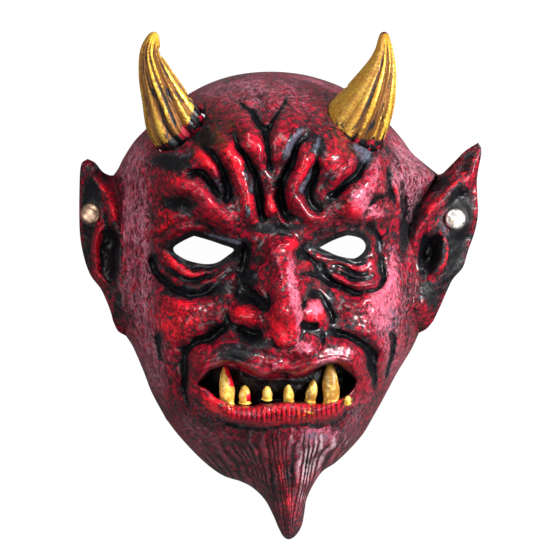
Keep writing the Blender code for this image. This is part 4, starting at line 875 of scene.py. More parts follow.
def frame_along(middle):
    """Two directions square to a path: to its right and to its front."""
    along = np.gradient(middle, axis=0)
    along /= np.linalg.norm(along, axis=1, keepdims=True)
    across = np.cross(along, [0, 0, 1])
    across /= np.linalg.norm(across, axis=1, keepdims=True)
    return across, np.cross(across, along)


def horn_path(points, count):
    """The horn's middle line and radius, with a root of its own length below the skin."""
    line = even(points[1:], count, deep=True)
    down = np.array(points[0][:3]) - line[0, :3]
    root = np.linspace(1, 0, count // 6, endpoint=False)[:, None]
    below = line[0, :3] + down * (HORN_ROOT / np.linalg.norm(down)) * root
    radius = line[0, 3] + (points[0][3] - line[0, 3]) * root
    return np.vstack([np.column_stack([below, radius]), line])


def horn_arrays(points, grooves, chips):
    """Rings about the horn's path. Grooves and chips cut the radius by bells about their angles."""
    path = horn_path(points, HORN_RINGS)
    across, front = frame_along(path[:, :3])
    turn = np.linspace(0, 2 * np.pi, HORN_SIDES, endpoint=False)
    share = np.linspace(0, 1, len(path))[:, None]
    degrees = np.degrees(turn)[None]
    cut = np.zeros((len(path), HORN_SIDES))
    for row, (angle, depth, width) in enumerate(grooves):
        wander = GROOVE_WANDER * np.sin(share * 5 + row * 1.7)
        off = (degrees - angle - wander + 180) % 360 - 180
        cut += depth * np.exp(-np.abs(off / width) ** 1.7)
    fade = smoothstep((share - GROOVE_START) / GROOVE_RISE) * smoothstep((1 - share) / GROOVE_END)
    size = path[:, 3:] * (1 + 0.02 - cut * fade)
    for at, angle, depth in chips:
        off = (degrees - angle + 180) % 360 - 180
        size = size * (1 - depth * np.exp(-((share - at) / CHIP_LENGTH) ** 4 - (off / CHIP_WIDTH) ** 4))
    past = ((share - (1 - POINT_LENGTH)) / POINT_LENGTH).clip(0, 1)
    size = size * np.sqrt(np.clip(1 - past**2, 0.0004, 1))
    shape = (path[:, None, :3] + across[:, None] * (size * np.cos(turn))[..., None]
             + front[:, None] * (size * np.sin(turn))[..., None])
    along = np.repeat(share, HORN_SIDES, axis=1)
    around = np.repeat(degrees, len(path), axis=0)
    return tube_arrays(real(shape)), cut * fade, along, around


def horn_hole(points):
    """The horn's lower length, wider by the seat gap, to cut its hole."""
    path = horn_path(points, HOLE_RINGS)[:HOLE_LENGTH].copy()
    path[0, :3] += (path[0, :3] - path[1, :3]) * 1.5
    across, front = frame_along(path[:, :3])
    turn = np.linspace(0, 2 * np.pi, HOLE_SIDES, endpoint=False)
    size = path[:, 3:] + SEAT_GAP
    shape = (path[:, None, :3] + across[:, None] * (size * np.cos(turn))[..., None]
             + front[:, None] * (size * np.sin(turn))[..., None])
    return tube_arrays(real(shape))


def prism(outline, low, high):
    """A straight cutter through the face, in the shape of a drawn outline."""
    edge = smooth_path(list(outline) + [outline[0]], 5)[:-1]
    rings = [np.column_stack([edge, np.full(len(edge), z)]) for z in (low, high)]
    return tube_arrays(real(np.array(rings)))


def lathe(profile, place, axis, sides):
    """A turned solid from radius and height pairs, its axis along the given direction."""
    side = np.cross([0, 1, 0], axis)
    side /= np.linalg.norm(side)
    other = np.cross(axis, side)
    turn = np.linspace(0, 2 * np.pi, sides, endpoint=False)
    ring = side * np.cos(turn)[:, None] + other * np.sin(turn)[:, None]
    return tube_arrays(np.array([place + ring * r + axis * h for r, h in profile]))


def rivet_frame(name):
    """Place and axis of a rivet, where its ear's outside is flat."""
    x, y = EARS[name]["rivet"]
    lean = EARS[name]["lean"]
    axis = np.array([-lean[0], -lean[1], 1.0])
    return real(np.array([x, y, rivet_seat(name)])), axis / np.linalg.norm(axis)


def tooth_arrays(tooth, floor):
    """A bent, tapered tooth: rounds of a swelling radius along a bowed line out of the gum."""
    x0, y0, x1, y1, radius, bend = tooth
    share = np.linspace(0, 1, TOOTH_RINGS)[:, None]
    size = radius * np.interp(share, *zip(*TOOTH_SHAPE))
    x = x0 + (x1 - x0) * share + bend * np.sin(np.pi * share)
    y = y0 + (y1 - y0) * share
    height = floor + TOOTH_LIFT + TOOTH_RISE * np.sin(np.pi * 0.55 * share)
    path = np.hstack([x, y, height])
    across, front = frame_along(path)
    turn = np.linspace(0, 2 * np.pi, TOOTH_SIDES, endpoint=False)
    lumps = 1 + 0.05 * np.sin(3 * turn + 9 * share + x0)
    shape = (path[:, None] + across[:, None] * (size * lumps * np.cos(turn))[..., None]
             + front[:, None] * (size * lumps * np.sin(turn))[..., None])
    return tube_arrays(real(shape))


# Paint: where each colour lies, as strokes (strength, half width, path) and mounds over the face.
BRIGHT_STROKES = [
    (1.4, 1.5, [(-57.3, 21, .6), (-57.6, 16.5, 1), (-55.2, 12, 1.2), (-51.2, 8, 1.3), (-47, 5.4, 1.2),
                (-42.8, 4.4, 1), (-38.5, 4.9, .8), (-34, 6.6, .5)]),
    (0.9, 4.2, [(-61, 53), (-51.5, 51.7), (-44, 47.5), (-38, 41), (-32, 35.5), (-25, 30.5)]),
    (0.9, 3.2, [(-46, 65.5), (-41, 64.5), (-37, 60.5), (-34.5, 56.5)]),
    (0.8, 3.8, [(-30, 75), (-26, 66), (-21, 57), (-18, 48), (-15.8, 40), (-17.5, 31)]),
    (0.8, 4.2, [(-15, 77), (-11.8, 69), (-8, 60.5)]),
    (0.8, 1.7, [(-4.6, 47), (-5.6, 41), (-3, 36.5), (0, 33)]),
    (1.5, 3.6, [(-41, -53), (-36, -58), (-31, -61.5), (-22, -64), (-10, -65), (8, -64.6), (20, -63.2),
                (29, -60), (35, -54)]),
    (0.9, 2.2, [(-24, -69.5), (-14, -71), (0, -70.6), (12, -70.4), (22, -69)]),
    (0.8, 1.6, [(-95.5, 60), (-93.5, 53), (-88.5, 47), (-85.3, 41.5), (-83, 34), (-81.6, 26)]),
    (0.9, 1.3, [(-88.5, 30.5), (-91, 25), (-91.5, 16), (-90, 8), (-85.5, 2), (-80.5, -2.5)]),
    (1.2, 1.5, [(56.5, 51), (58, 45), (58.5, 38.5), (59.5, 33)]),
    (0.8, 2.0, [(96.5, 64), (91, 54), (83, 46.5), (76, 40), (70.5, 31)]),
    (0.9, 1.3, [(75, 27.5), (79.5, 26), (82.6, 21), (83, 14.5), (81.2, 8.8), (76.5, 4.5)]),
    (0.7, 1.2, [(98, 60), (98.2, 50), (97.6, 36), (96, 27), (92, 16)]),
    (0.9, 1.5, [(18.5, 13.6), (25.3, 10.2), (30.8, 8), (36.3, 7.6), (41.4, 8.8), (45.3, 12)]),
    (0.6, 1.3, [(24, 6.5), (31, 2.5), (37, 1.6), (42, 2.8)]),
    (0.6, 0.9, [(-46, -1), (-42.5, -1.2), (-38, -0.4)]),
    (0.6, 1.0, [(-63, 17), (-62, 24), (-56, 30), (-49, 32.5)]),
    (0.9, 2.8, [(-2, -80), (0.5, -92), (3, -104), (4.5, -116)]),
    (0.6, 1.8, [(6, -84), (7.5, -94), (8, -103)]),
]
BRIGHT_MOUNDS = [
    (1.2, 1.6, -24, 8, 8), (0.4, 0.5, -12, 5, 8), (1.2, -18, -15.6, 6, 5), (1.2, 17.3, -12.5, 5.5, 6),
    (1.2, 6, 19.5, 3.5, 3), (1.1, 11.5, 10.3, 3.4, 2.8), (0.5, 12.5, -1, 3.5, 3), (0.8, -52, -20, 13, 14),
    (0.6, -60, 32, 6, 8), (0.5, 26, 63, 8, 7), (0.5, 8, 66, 8, 12), (0.5, 12, 56, 5, 8),
    (0.7, 36, 36, 8, 6), (0.4, 20, 33, 8, 3), (0.5, 48, -6, 8, 5),
]
DUST_MOUNDS = [
    (1.0, -10, 100, 58, 13), (1.1, -74, 42, 8.5, 44), (0.9, -71.5, -4, 7.5, 36), (0.9, -63, -40, 10, 24),
    (0.9, 62, 66, 13, 24), (0.7, 64, 50, 6, 24), (0.5, 62, 5, 5, 22), (0.7, 58, -32, 9, 26),
    (0.15, 4, -98, 22, 26), (0.75, 28, -33, 8, 3.5), (0.7, -40, -76, 14, 16), (0.6, 36, -70, 12, 14),
    (0.6, 80, 54, 12, 12), (0.3, 84, 28, 10, 14),
]
# Pale red paint and painted highlights, most of them on the right, where the light falls.
PINK_AND_HIGHLIGHT_MOUNDS = [
    (1.3, 50, -12, 9, 13), (1.1, 40, 43, 6, 8), (0.8, 47, 56, 5, 10), (0.9, 48, 35.5, 6, 4),
    (0.9, 56, 8, 4.5, 16), (1.1, 5, 5, 3, 12), (1.1, 6.8, -7, 2.4, 7), (1.1, 9.4, -19, 2.6, 11),
    (0.7, 54, -34, 4, 12), (0.5, 15, -73, 13, 3.5), (0.8, -3, -40.5, 2.4, 3), (1.1, 12.5, -32, 6, 3.6),
    (0.8, 42, 9, 5, 3), (1.2, 17.5, -12, 5, 5), (0.9, 40.5, 2.2, 4, 3), (0.95, 30, -34.2, 8, 2.6),
    (0.5, -22, -19, 5, 3), (0.5, 5, -42, 8, 2), (0.6, -33, -37.5, 7, 1.8), (0.6, 33, -38.5, 5, 1.6),
    (0.6, 13, 52, 3, 8), (0.7, 28, 55.5, 5, 3), (0.5, 45, -55, 3, 9), (1.0, 20, -77, 12, 5),
    (0.6, 15, -87, 8, 8), (0.6, 11, -100, 3, 9),
]
BLACK_MOUNDS = [
    (1.0, -4, 28, 15, 3.2, 0, 3), (0.9, -20, 16, 6, 8, 0, 3), (0.9, -17, 3, 6, 5, 0, 3),
    # Black paint and painted shadow: the band at x -42, y 74 darkens the skin where the left horn's foot
    # shades it.
    (1.0, -55, 61, 12, 5, -8, 3), (1.0, -42, 74, 12, 4, -20, 3), (0.8, 19, 69, 4, 8, 20, 3),
    (1.0, -51, 40, 9, 4, -8, 3), (0.65, -22, -33, 17, 5, 6, 3), (0.55, 25, -31, 9, 2.2, -8, 3),
    (1.0, -16.5, -7.8, 7, 3, 0, 3), (1.0, 16, -6.3, 4.4, 1.6, -8, 3), (1.0, 15.8, -20.4, 3.6, 1.5, 5, 3),
    (1.0, -85.3, 14, 4.4, 17, 0, 4), (1.0, 74.5, 15, 6, 10.5, -18, 4), (0.6, -93, 44, 5, 12, 0, 3),
    # Black paint and painted shade: the spot at x -15, y -27 darkens the skin under the left nose wing.
    (0.6, 61, 26, 2.5, 16, 0, 3), (0.9, -40, -3, 22, 4, 4, 3), (0.7, -15, -27, 10, 3, -18, 3),
    (1.0, 89.5, 38, 6, 10, 0, 3), (0.8, 87.5, 21, 4.5, 10, -18, 3), (0.8, 66, 34, 4, 17, -14, 3),
    (0.8, -96, 38, 4.6, 18, 0, 3), (0.7, -97, 10, 3, 14, 0, 3), (0.6, -81.5, -12, 3, 10, 0, 3),
    (0.45, -5, 7, 5, 13, -8, 3), (0.5, -36, -69, 9, 5, -40, 3), (0.5, 37, -63, 8, 4, 45, 3),
    (0.7, 60, 44, 2.5, 9, 0, 3), (0.5, 58, 62, 3, 7, 20, 3), (0.5, 93, 60, 3, 8, -20, 3),
    (0.5, 86, 8, 4, 10, -25, 3), (0.5, 76, -8, 4, 8, -15, 3), (0.45, 78, 50, 6, 4, 30, 3),
    (0.40, 85, 26, 13, 44, 0, 4), (0.8, 72, -3, 4, 5, 0, 3), (0.45, -80.5, 22, 3, 32, 0, 3),
    (0.22, -50, -13, 15, 8, -8, 3), (0.4, -22, -38, 12, 5, 10, 3), (0.4, 32, 60, 3, 6, -40, 3),
]
# Painted sheen: places where the black coat is painted a pale bluish colour for the light shining on it,
# kept clear of red.
SHEEN_STROKES = [
    (1.0, 1.3, [(-42, 26.2, .6), (-35.5, 24.6, 1), (-27, 22.2, 1.1), (-21, 20.4, 1.2), (-18.6, 19.4, .8)]),
    (1.0, 2.2, [(14.5, 80, .7), (8.3, 75.4, 1), (4.6, 69.5, 1), (2, 63, .9), (0.4, 58, .6)]),
    (0.9, 1.8, [(16.4, 60, .7), (14.2, 54, 1), (11.2, 48.6, 1), (9.2, 43.6, .9)]),
    (1.0, 5.0, [(34, 73, .8), (40, 68.5, 1), (42, 63.5, 1), (39.5, 58.5, .7)]),
    (0.8, 2.6, [(20, 76, .8), (18, 70, 1), (17, 64, .8)]),
    (0.6, 4.0, [(-58, 62, .8), (-50, 62, 1), (-42, 70, .8)]),
    (0.9, 2.2, [(-33.8, 53.5, .7), (-31.5, 50.3, 1), (-30, 47, .7)]),
    (0.8, 1.6, [(-19.5, 60, .6), (-15.8, 51, 1), (-13.6, 43, .9)]),
    (1.0, 1.4, [(48.2, 23, .8), (49.8, 18.5, 1), (49.2, 14, .8)]),
    (0.8, 1.4, [(-18, 41, .7), (-16.3, 36.5, 1), (-17.4, 31.6, .8)]),
    (0.6, 5.0, [(53, -10), (56, -18), (52, -26)]),
    (0.6, 1.5, [(-20, 5, .6), (-14, 6, 1), (-11, 0, .8)]),
    (0.6, 1.6, [(-28, -31, .6), (-21, -32, 1), (-13, -36, .8)]),
    (0.7, 3.0, [(27, 56), (23, 52)]),
    (0.7, 2.0, [(20, 0), (24, -4), (27, -10)]),
    (0.5, 3.0, [(86, 36), (82, 29), (84, 20)]),
    (0.8, 3.2, [(8, -75), (18, -76), (25, -78)]),
]
# How far round the eye holes the lids are black.
LID_RIM = 3.4
# The upper lip's painted edge, along the first points of the mouth, and flecks of gold on the lower lip.
UPPER_LIP_EDGE = (1.0, 1.15, MOUTH[:15])
FLECK_MOUNDS = [(1.0, 13, -62.5, 3.2, 4.5), (0.9, 33, -58.5, 3, 2), (0.8, -26.5, -61.5, 3.5, 1.6)]


def paint_layers(x, y):
    """How strongly each colour lies at drawn points, from 0 to 1."""
    bright = sum(stroke(x, y, *row) for row in BRIGHT_STROKES)
    bright = bright + sum(mound(x, y, *row) for row in BRIGHT_MOUNDS)
    dust = sum(mound(x, y, *row, 0, 3) for row in DUST_MOUNDS)
    pink_and_highlight = sum(mound(x, y, *row, 0, 2.4) for row in PINK_AND_HIGHLIGHT_MOUNDS)
    black = sum(mound(x, y, *row) for row in BLACK_MOUNDS)
    sheen = sum(stroke(x, y, *row) for row in SHEEN_STROKES)
    for eye in (LEFT_EYE, RIGHT_EYE):
        black += smoothstep((LID_RIM + depth_in(x, y, eye)) / 0.9)
    black += smoothstep((depth_in(x, y, MOUTH) + 0.2) / 1.0)
    layers = {"bright": bright, "dust": dust, "pink_and_highlight": pink_and_highlight, "black": black, "sheen": sheen}
    return {name: np.clip(layer, 0, 1) for name, layer in layers.items()}


class Graph:
    """A short way to write a node tree: each call adds a node and gives back its output."""

    def __init__(self, tree):
        self.tree = tree

    def add(self, kind, out=0, links=None, **settings):
        """A node of any kind: its settings by name, and what its inputs hold by name or number."""
        node = self.tree.nodes.new(kind)
        for name, value in settings.items():
            setattr(node, name, value)
        for name, value in (links or {}).items():
            self.put(node.inputs[name], value)
        return node.outputs[out]

    def put(self, socket, value):
        """Links an output to an input, or sets the input to a plain value."""
        if isinstance(value, bpy.types.NodeSocket):
            self.tree.links.new(value, socket)
        elif isinstance(value, tuple) and len(value) == 3 and socket.type == "RGBA":
            socket.default_value = (*value, 1)
        else:
            socket.default_value = value

    def math(self, operation, a, b=0.0, clamp=False):
        """Any of the Math node's operations on two values."""
        return self.add("ShaderNodeMath", links={0: a, 1: b}, operation=operation, use_clamp=clamp)

    def plus(self, a, b, clamp=False):
        """a + b, kept from 0 to 1 where clamp says so."""
        return self.math("ADD", a, b, clamp)

    def minus(self, a, b):
        """a - b."""
        return self.math("SUBTRACT", a, b)

    def times(self, a, b):
        """a times b."""
        return self.math("MULTIPLY", a, b)

    def larger(self, a, b):
        """The larger of a and b."""
        return self.math("MAXIMUM", a, b)

    def ramp(self, value, low, high, start=0.0, end=1.0):
        """value carried from low..high to start..end with level ends."""
        links = {"Value": value, "From Min": low, "From Max": high, "To Min": start, "To Max": end}
        return self.add("ShaderNodeMapRange", links=links, interpolation_type="SMOOTHSTEP")

    def mix(self, share, a, b):
        """Colour a, covered by colour b where share is 1."""
        return self.add("ShaderNodeMix", 2, {0: share, 6: a, 7: b}, data_type="RGBA")

    def mix_value(self, share, a, b):
        """Value a, drawn to value b as share goes to 1."""
        return self.add("ShaderNodeMix", 0, {0: share, 2: a, 3: b}, data_type="FLOAT")

    def noise(self, where, scale, detail=3.0, roughness=0.55, distortion=0.0):
        """Cloudy noise with scale lumps to a unit, from about 0.25 to 0.75."""
        links = {"Vector": where, "Scale": scale, "Detail": detail, "Roughness": roughness,
                 "Distortion": distortion}
        return self.add("ShaderNodeTexNoise", links=links)

    def attribute(self, name):
        """A value painted on the piece's points."""
        return self.add("ShaderNodeAttribute", 2, attribute_name=name)

    def coordinates(self, turn=(0, 0, 0), stretch=(1, 1, 1)):
        """Object coordinates in metres, turned in radians and scaled."""
        where = self.add("ShaderNodeTexCoord", 3)
        return self.add("ShaderNodeMapping", links={"Vector": where, "Rotation": turn, "Scale": stretch})


def node_group(name, inputs, outputs, build):
    """A shader node group with named sockets, whose nodes the build function adds."""
    tree = bpy.data.node_groups.new(name, "ShaderNodeTree")
    for label, kind, value in inputs:
        socket = tree.interface.new_socket(label, in_out="INPUT", socket_type="NodeSocket" + kind)
        if value is not None:
            socket.default_value = value
    for label, kind in outputs:
        tree.interface.new_socket(label, in_out="OUTPUT", socket_type="NodeSocket" + kind)
    source = tree.nodes.new("NodeGroupInput")
    sink = tree.nodes.new("NodeGroupOutput")
    graph = Graph(tree)
    made = build(graph, {label: source.outputs[label] for label, _, _ in inputs})
    for label, value in made.items():
        graph.put(sink.inputs[label], value)
    return tree


def sponge_nodes(graph, given):
    """Dabs of a sponge: two sizes of noise, cut at a level that lets the wanted share through."""
    large = graph.noise(given["Vector"], given["Scale"], 4.0, 0.62, 0.4)
    size = graph.times(given["Scale"], 3.1)
    small = graph.noise(given["Vector"], size, 3.0, 0.6)
    both = graph.plus(graph.times(large, 0.62), graph.times(small, 0.38))
    cut = graph.add("ShaderNodeMapRange", links={"Value": given["Cover"], "To Min": 0.66, "To Max": 0.34})
    high = graph.plus(cut, given["Softness"])
    links = {"Value": both, "From Min": cut, "From Max": high}
    return {"Mask": graph.add("ShaderNodeMapRange", links=links)}


def skin_nodes(graph, given):
    """Fine bumps of cast latex: soft lumps with small pores over them, as a height from 0 to 1."""
    lumps = graph.noise(given["Vector"], given["Scale"], 2.0, 0.5)
    pores = graph.noise(given["Vector"], graph.times(given["Scale"], 4.0), 2.0, 0.5)
    return {"Height": graph.plus(graph.times(lumps, 0.7), graph.times(pores, 0.3))}


# How far a pit's outline is drawn out of shape, in metres.
PIT_PULL = 0.0011


def pit_nodes(graph, given):
    """Small round pits: spots about scattered cell centres, drawn out of shape by noise."""
    bend = graph.add("ShaderNodeTexNoise", 1, {"Vector": given["Vector"], "Scale": given["Scale"]})
    pull = graph.add("ShaderNodeVectorMath", 0, {0: bend, 1: (PIT_PULL,) * 3}, operation="MULTIPLY")
    place = graph.add("ShaderNodeVectorMath", 0, {0: given["Vector"], 1: pull}, operation="ADD")
    links = {"Vector": place, "Scale": given["Scale"]}
    far = graph.add("ShaderNodeTexVoronoi", 0, links)
    chance = graph.add("ShaderNodeTexVoronoi", 1, links)
    pick = graph.add("ShaderNodeSeparateColor", 0, {0: chance})
    size = graph.ramp(pick, 0.25, 1.0, 0.0, 0.42)
    rough = graph.noise(given["Vector"], graph.times(given["Scale"], 2.6), 3.0, 0.6)
    near = graph.minus(graph.plus(size, graph.ramp(rough, 0.3, 0.7, -0.16, 0.2)), far)
    return {"Mask": graph.ramp(near, 0.0, 0.10)}


def ring_nodes(graph, given):
    """Small broken rings: thin lines where a noise crosses its middle, kept only in patches."""
    lumps = graph.noise(given["Vector"], given["Scale"], 2.0, 0.5, 0.7)
    off = graph.math("ABSOLUTE", graph.minus(lumps, 0.5))
    wide = graph.noise(given["Vector"], graph.times(given["Scale"], 0.25), 2.0)
    return {"Mask": graph.times(graph.ramp(off, 0.010, 0.055, 1.0, 0.0), graph.ramp(wide, 0.42, 0.56))}


VECTOR_IN = ("Vector", "Vector", None)
SCALE_IN = ("Scale", "Float", 400.0)
MASK_OUT = [("Mask", "Float")]
PITS = node_group("skin_pits", [VECTOR_IN, SCALE_IN], MASK_OUT, pit_nodes)
RINGS = node_group("skin_rings", [VECTOR_IN, SCALE_IN], MASK_OUT, ring_nodes)
SPONGE_IN = [VECTOR_IN, SCALE_IN, ("Cover", "Float", 0.5), ("Softness", "Float", 0.1)]
SPONGE = node_group("sponge_dabs", SPONGE_IN, MASK_OUT, sponge_nodes)
SKIN = node_group("latex_skin", [VECTOR_IN, SCALE_IN], [("Height", "Float")], skin_nodes)


def use(graph, tree, **values):
    """A node group's output, with its named values."""
    node = graph.tree.nodes.new("ShaderNodeGroup")
    node.node_tree = tree
    for name, value in values.items():
        graph.put(node.inputs[name], value)
    return node.outputs[0]


def new_material(name):
    """An empty material: its graph and its Principled shader."""
    made = bpy.data.materials.new(name)
    made.use_nodes = True
    return made, Graph(made.node_tree), made.node_tree.nodes["Principled BSDF"]


def finish_material(graph, shader, colour, roughness, height, distance, metallic=None):
    """Links colour, roughness, metallic and a bump of the height, distance in metres, to the shader."""
    graph.put(shader.inputs["Base Color"], colour)
    graph.put(shader.inputs["Roughness"], roughness)
    if metallic is not None:
        graph.put(shader.inputs["Metallic"], metallic)
    bump = graph.add("ShaderNodeBump", links={"Height": height, "Distance": distance, "Strength": 1.0})
    graph.put(shader.inputs["Normal"], bump)


# Colours of the paint and of its painted highlights, sheen and shade, in linear light. In the materials
# below, a noise's or a group's scale is in lumps to a metre, and a ramp goes from its first pair of values
# to its second.
INK = (0.0035, 0.0034, 0.0050)
SOOT = (0.022, 0.024, 0.028)
# Painted sheen of the light on the black coat.
STEEL_SHEEN = (0.105, 0.125, 0.175)
WINE = (0.085, 0.0020, 0.0085)
CRIMSON = (0.36, 0.0024, 0.0190)
SCARLET = (0.90, 0.0060, 0.0200)
MAUVE = (0.43, 0.135, 0.190)
LILAC = (0.62, 0.25, 0.33)
# Painted highlight on the beard's strands.
FROST_HIGHLIGHT = (0.74, 0.50, 0.56)
# Pale red paint, also the colour of painted highlights.
ROSE_AND_HIGHLIGHT = (0.72, 0.165, 0.26)
GOLD = (0.78, 0.40, 0.035)
PALE_GOLD = (0.98, 0.64, 0.075)
IVORY = (0.88, 0.62, 0.15)
# Bronze paint, also the colour of painted shade on the horns and teeth.
BRONZE_AND_SHADE = (0.21, 0.080, 0.012)
SILVER = (0.86, 0.83, 0.78)
COPPER = (0.55, 0.36, 0.25)
TARNISH = (0.16, 0.10, 0.07)

# Depths of the bumps in metres, and the strength and roughness of the skin's varnish.
SKIN_BUMP, HORN_BUMP, TOOTH_BUMP, RIVET_BUMP = 0.00045, 0.0003, 0.0001, 0.00008
SKIN_SPECULAR = 0.22
VARNISH = 0.50
VARNISH_ROUGHNESS = 0.21


def skin_material():
    """Black latex, sponged crimson, dry-brushed scarlet on its ridges, dusted mauve, pale red paint with
    painted highlights, and painted sheen.
    """
    made, graph, shader = new_material("painted_latex")
    where = graph.coordinates()
    names = ("hollow", "ridge", "bright", "dust", "pink_and_highlight", "black", "sheen", "lining", "lip", "drawn_x")
    hollow, ridge, bright, dust, pink_and_highlight, black, sheen, lining, lip, drawn_x = map(graph.attribute, names)

    # How much crimson is sponged on: more on ridges, little in hollows, none in pits.
    deep = graph.larger(hollow, black)
    clouds = graph.noise(where, 45.0, 3.0)
    wear = graph.ramp(clouds, 0.35, 0.65, -0.14, 0.14)
    pits = graph.times(use(graph, PITS, Vector=where, Scale=280.0), 0.7)
    pits = graph.larger(pits, use(graph, RINGS, Vector=where, Scale=400.0))

    cover = graph.plus(graph.times(ridge, 0.45), graph.plus(wear, 0.56), clamp=True)
    cover = graph.times(cover, graph.ramp(deep, 0.28, 0.7, 1.0, 0.04))
    cover = graph.times(cover, graph.ramp(sheen, 0.2, 0.6, 1.0, 0.0))
    dabs = use(graph, SPONGE, Vector=where, Scale=420.0, Cover=cover, Softness=0.05)
    dabs = graph.times(dabs, graph.minus(1.0, graph.times(pits, 0.85)))

    # Black and wine below, crimson over them.
    smoke = graph.mix(graph.ramp(graph.noise(where, 300.0), 0.45, 0.62), INK, SOOT)
    tint = graph.ramp(graph.noise(where, 260.0, 4.0), 0.42, 0.62)
    tint = graph.times(tint, graph.ramp(deep, 0.3, 0.9, 0.9, 0.1))
    colour = graph.mix(tint, smoke, WINE)
    red = graph.mix(graph.ramp(graph.noise(where, 420.0, 4.0, 0.65), 0.42, 0.59), WINE, CRIMSON)
    colour = graph.mix(dabs, colour, red)

    # Scarlet on ridges and wherever the drawing has it bright.
    own = graph.times(ridge, graph.ramp(black, 0.1, 0.7, 0.30, 0.0))
    glow = graph.plus(graph.times(bright, 0.68), own)
    glow = graph.plus(glow, graph.times(lip, 0.25))
    glow = graph.times(glow, graph.ramp(hollow, 0.3, 0.7, 1.0, 0.0))
    glow = graph.times(glow, graph.ramp(sheen, 0.2, 0.6, 1.0, 0.0))
    scarlet = use(graph, SPONGE, Vector=where, Scale=520.0, Cover=glow, Softness=0.05)
    scarlet = graph.times(scarlet, graph.minus(1.0, pits))
    colour = graph.mix(scarlet, colour, graph.mix(graph.ramp(clouds, 0.35, 0.6), CRIMSON, SCARLET))

    # Mauve dust with paler veins on the sides and the crown.
    brushed = graph.coordinates((0, 0, 0.3), (1, 0.35, 1))
    veil = graph.times(dust, graph.ramp(deep, 0.2, 0.8, 1.0, 0.2))
    mauve = use(graph, SPONGE, Vector=brushed, Scale=560.0, Cover=graph.times(veil, 0.62), Softness=0.14)
    veins = use(graph, RINGS, Vector=brushed, Scale=330.0)
    veins = graph.larger(veins, use(graph, RINGS, Vector=where, Scale=210.0))
    veins = graph.times(veins, dust)
    mauve = graph.larger(mauve, graph.times(veins, 0.75))
    colour = graph.mix(graph.times(mauve, 0.85), colour, graph.mix(veins, MAUVE, LILAC))

    # Pale red paint on drawn places, with painted highlights there, and painted highlights on the tops of
    # the ridges toward the right, where the light falls.
    crest_highlight = graph.times(graph.ramp(ridge, 0.55, 1.0, 0.0, 0.42), graph.ramp(clouds, 0.45, 0.6))
    crest_highlight = graph.times(crest_highlight, graph.ramp(drawn_x, -40.0, -5.0, 0.2, 1.0))
    rosy_and_highlight = graph.larger(pink_and_highlight, crest_highlight)
    rosy_and_highlight = graph.times(rosy_and_highlight, graph.ramp(hollow, 0.2, 0.6, 1.0, 0.0))
    rose_and_highlight_dabs = use(graph, SPONGE, Vector=where, Scale=380.0, Cover=graph.times(rosy_and_highlight, 0.9), Softness=0.16)
    colour = graph.mix(graph.times(rose_and_highlight_dabs, 0.8), colour, ROSE_AND_HIGHLIGHT)

    # Painted sheen: pale bluish highlights of the light on the black coat.
    sheen_dabs = use(graph, SPONGE, Vector=where, Scale=300.0, Cover=graph.times(sheen, 0.95), Softness=0.2)
    colour = graph.mix(sheen_dabs, colour, STEEL_SHEEN)

    # Painted highlights on the strands and dark gaps on the same waves as the beard's shape, then the lower
    # lip's lines.
    beard, fan = graph.attribute("beard"), graph.attribute("fan")
    sway = graph.ramp(graph.noise(where, 70.0, 2.0), 0.3, 0.7, -0.8, 0.8)
    angle = graph.times(graph.plus(fan, sway), math.radians(FINE_STRANDS))
    hair = graph.math("ABSOLUTE", graph.math("SINE", angle))
    gap = graph.times(graph.ramp(hair, 0.15, 0.55, 1.0, 0.0), beard)
    lit = graph.ramp(hair, 0.55, 0.95)
    lit = graph.times(lit, graph.times(beard, graph.ramp(pink_and_highlight, 0.0, 0.5, 0.16, 0.95)))
    lit = graph.times(lit, graph.ramp(graph.noise(where, 90.0, 3.0), 0.38, 0.56))
    colour = graph.mix(lit, colour, graph.mix(graph.ramp(pink_and_highlight, 0.1, 0.6), LILAC, FROST_HIGHLIGHT))
    colour = graph.mix(graph.times(gap, 0.92), colour, INK)
    stripe = graph.math("ABSOLUTE", graph.math("COSINE", graph.times(drawn_x, math.pi / LIP_LINE)))
    slit = graph.times(graph.ramp(stripe, 0.72, 1.0), lip)
    colour = graph.mix(graph.times(slit, 0.85), colour, WINE)

    # Ink in the creases, with ragged edges, the upper lip's wet edge, gold flecks and the plain lining.
    edges = graph.ramp(graph.noise(where, 380.0, 4.0, 0.6), 0.32, 0.68, -0.2, 0.2)
    crease = graph.ramp(graph.plus(deep, edges), 0.5, 0.92)
    crease = graph.times(crease, graph.ramp(graph.larger(bright, sheen), 0.5, 0.9, 1.0, 0.0))
    colour = graph.mix(crease, colour, INK)
    wet = graph.times(graph.attribute("lip_edge"), graph.ramp(graph.noise(where, 160.0, 3.0), 0.30, 0.48))
    colour = graph.mix(wet, colour, graph.mix(graph.ramp(clouds, 0.45, 0.6), CRIMSON, ROSE_AND_HIGHLIGHT))
    spots = graph.times(graph.attribute("fleck"), graph.ramp(graph.noise(where, 620.0, 3.0), 0.58, 0.63))
    colour = graph.mix(spots, colour, PALE_GOLD)
    colour = graph.mix(lining, colour, SOOT)

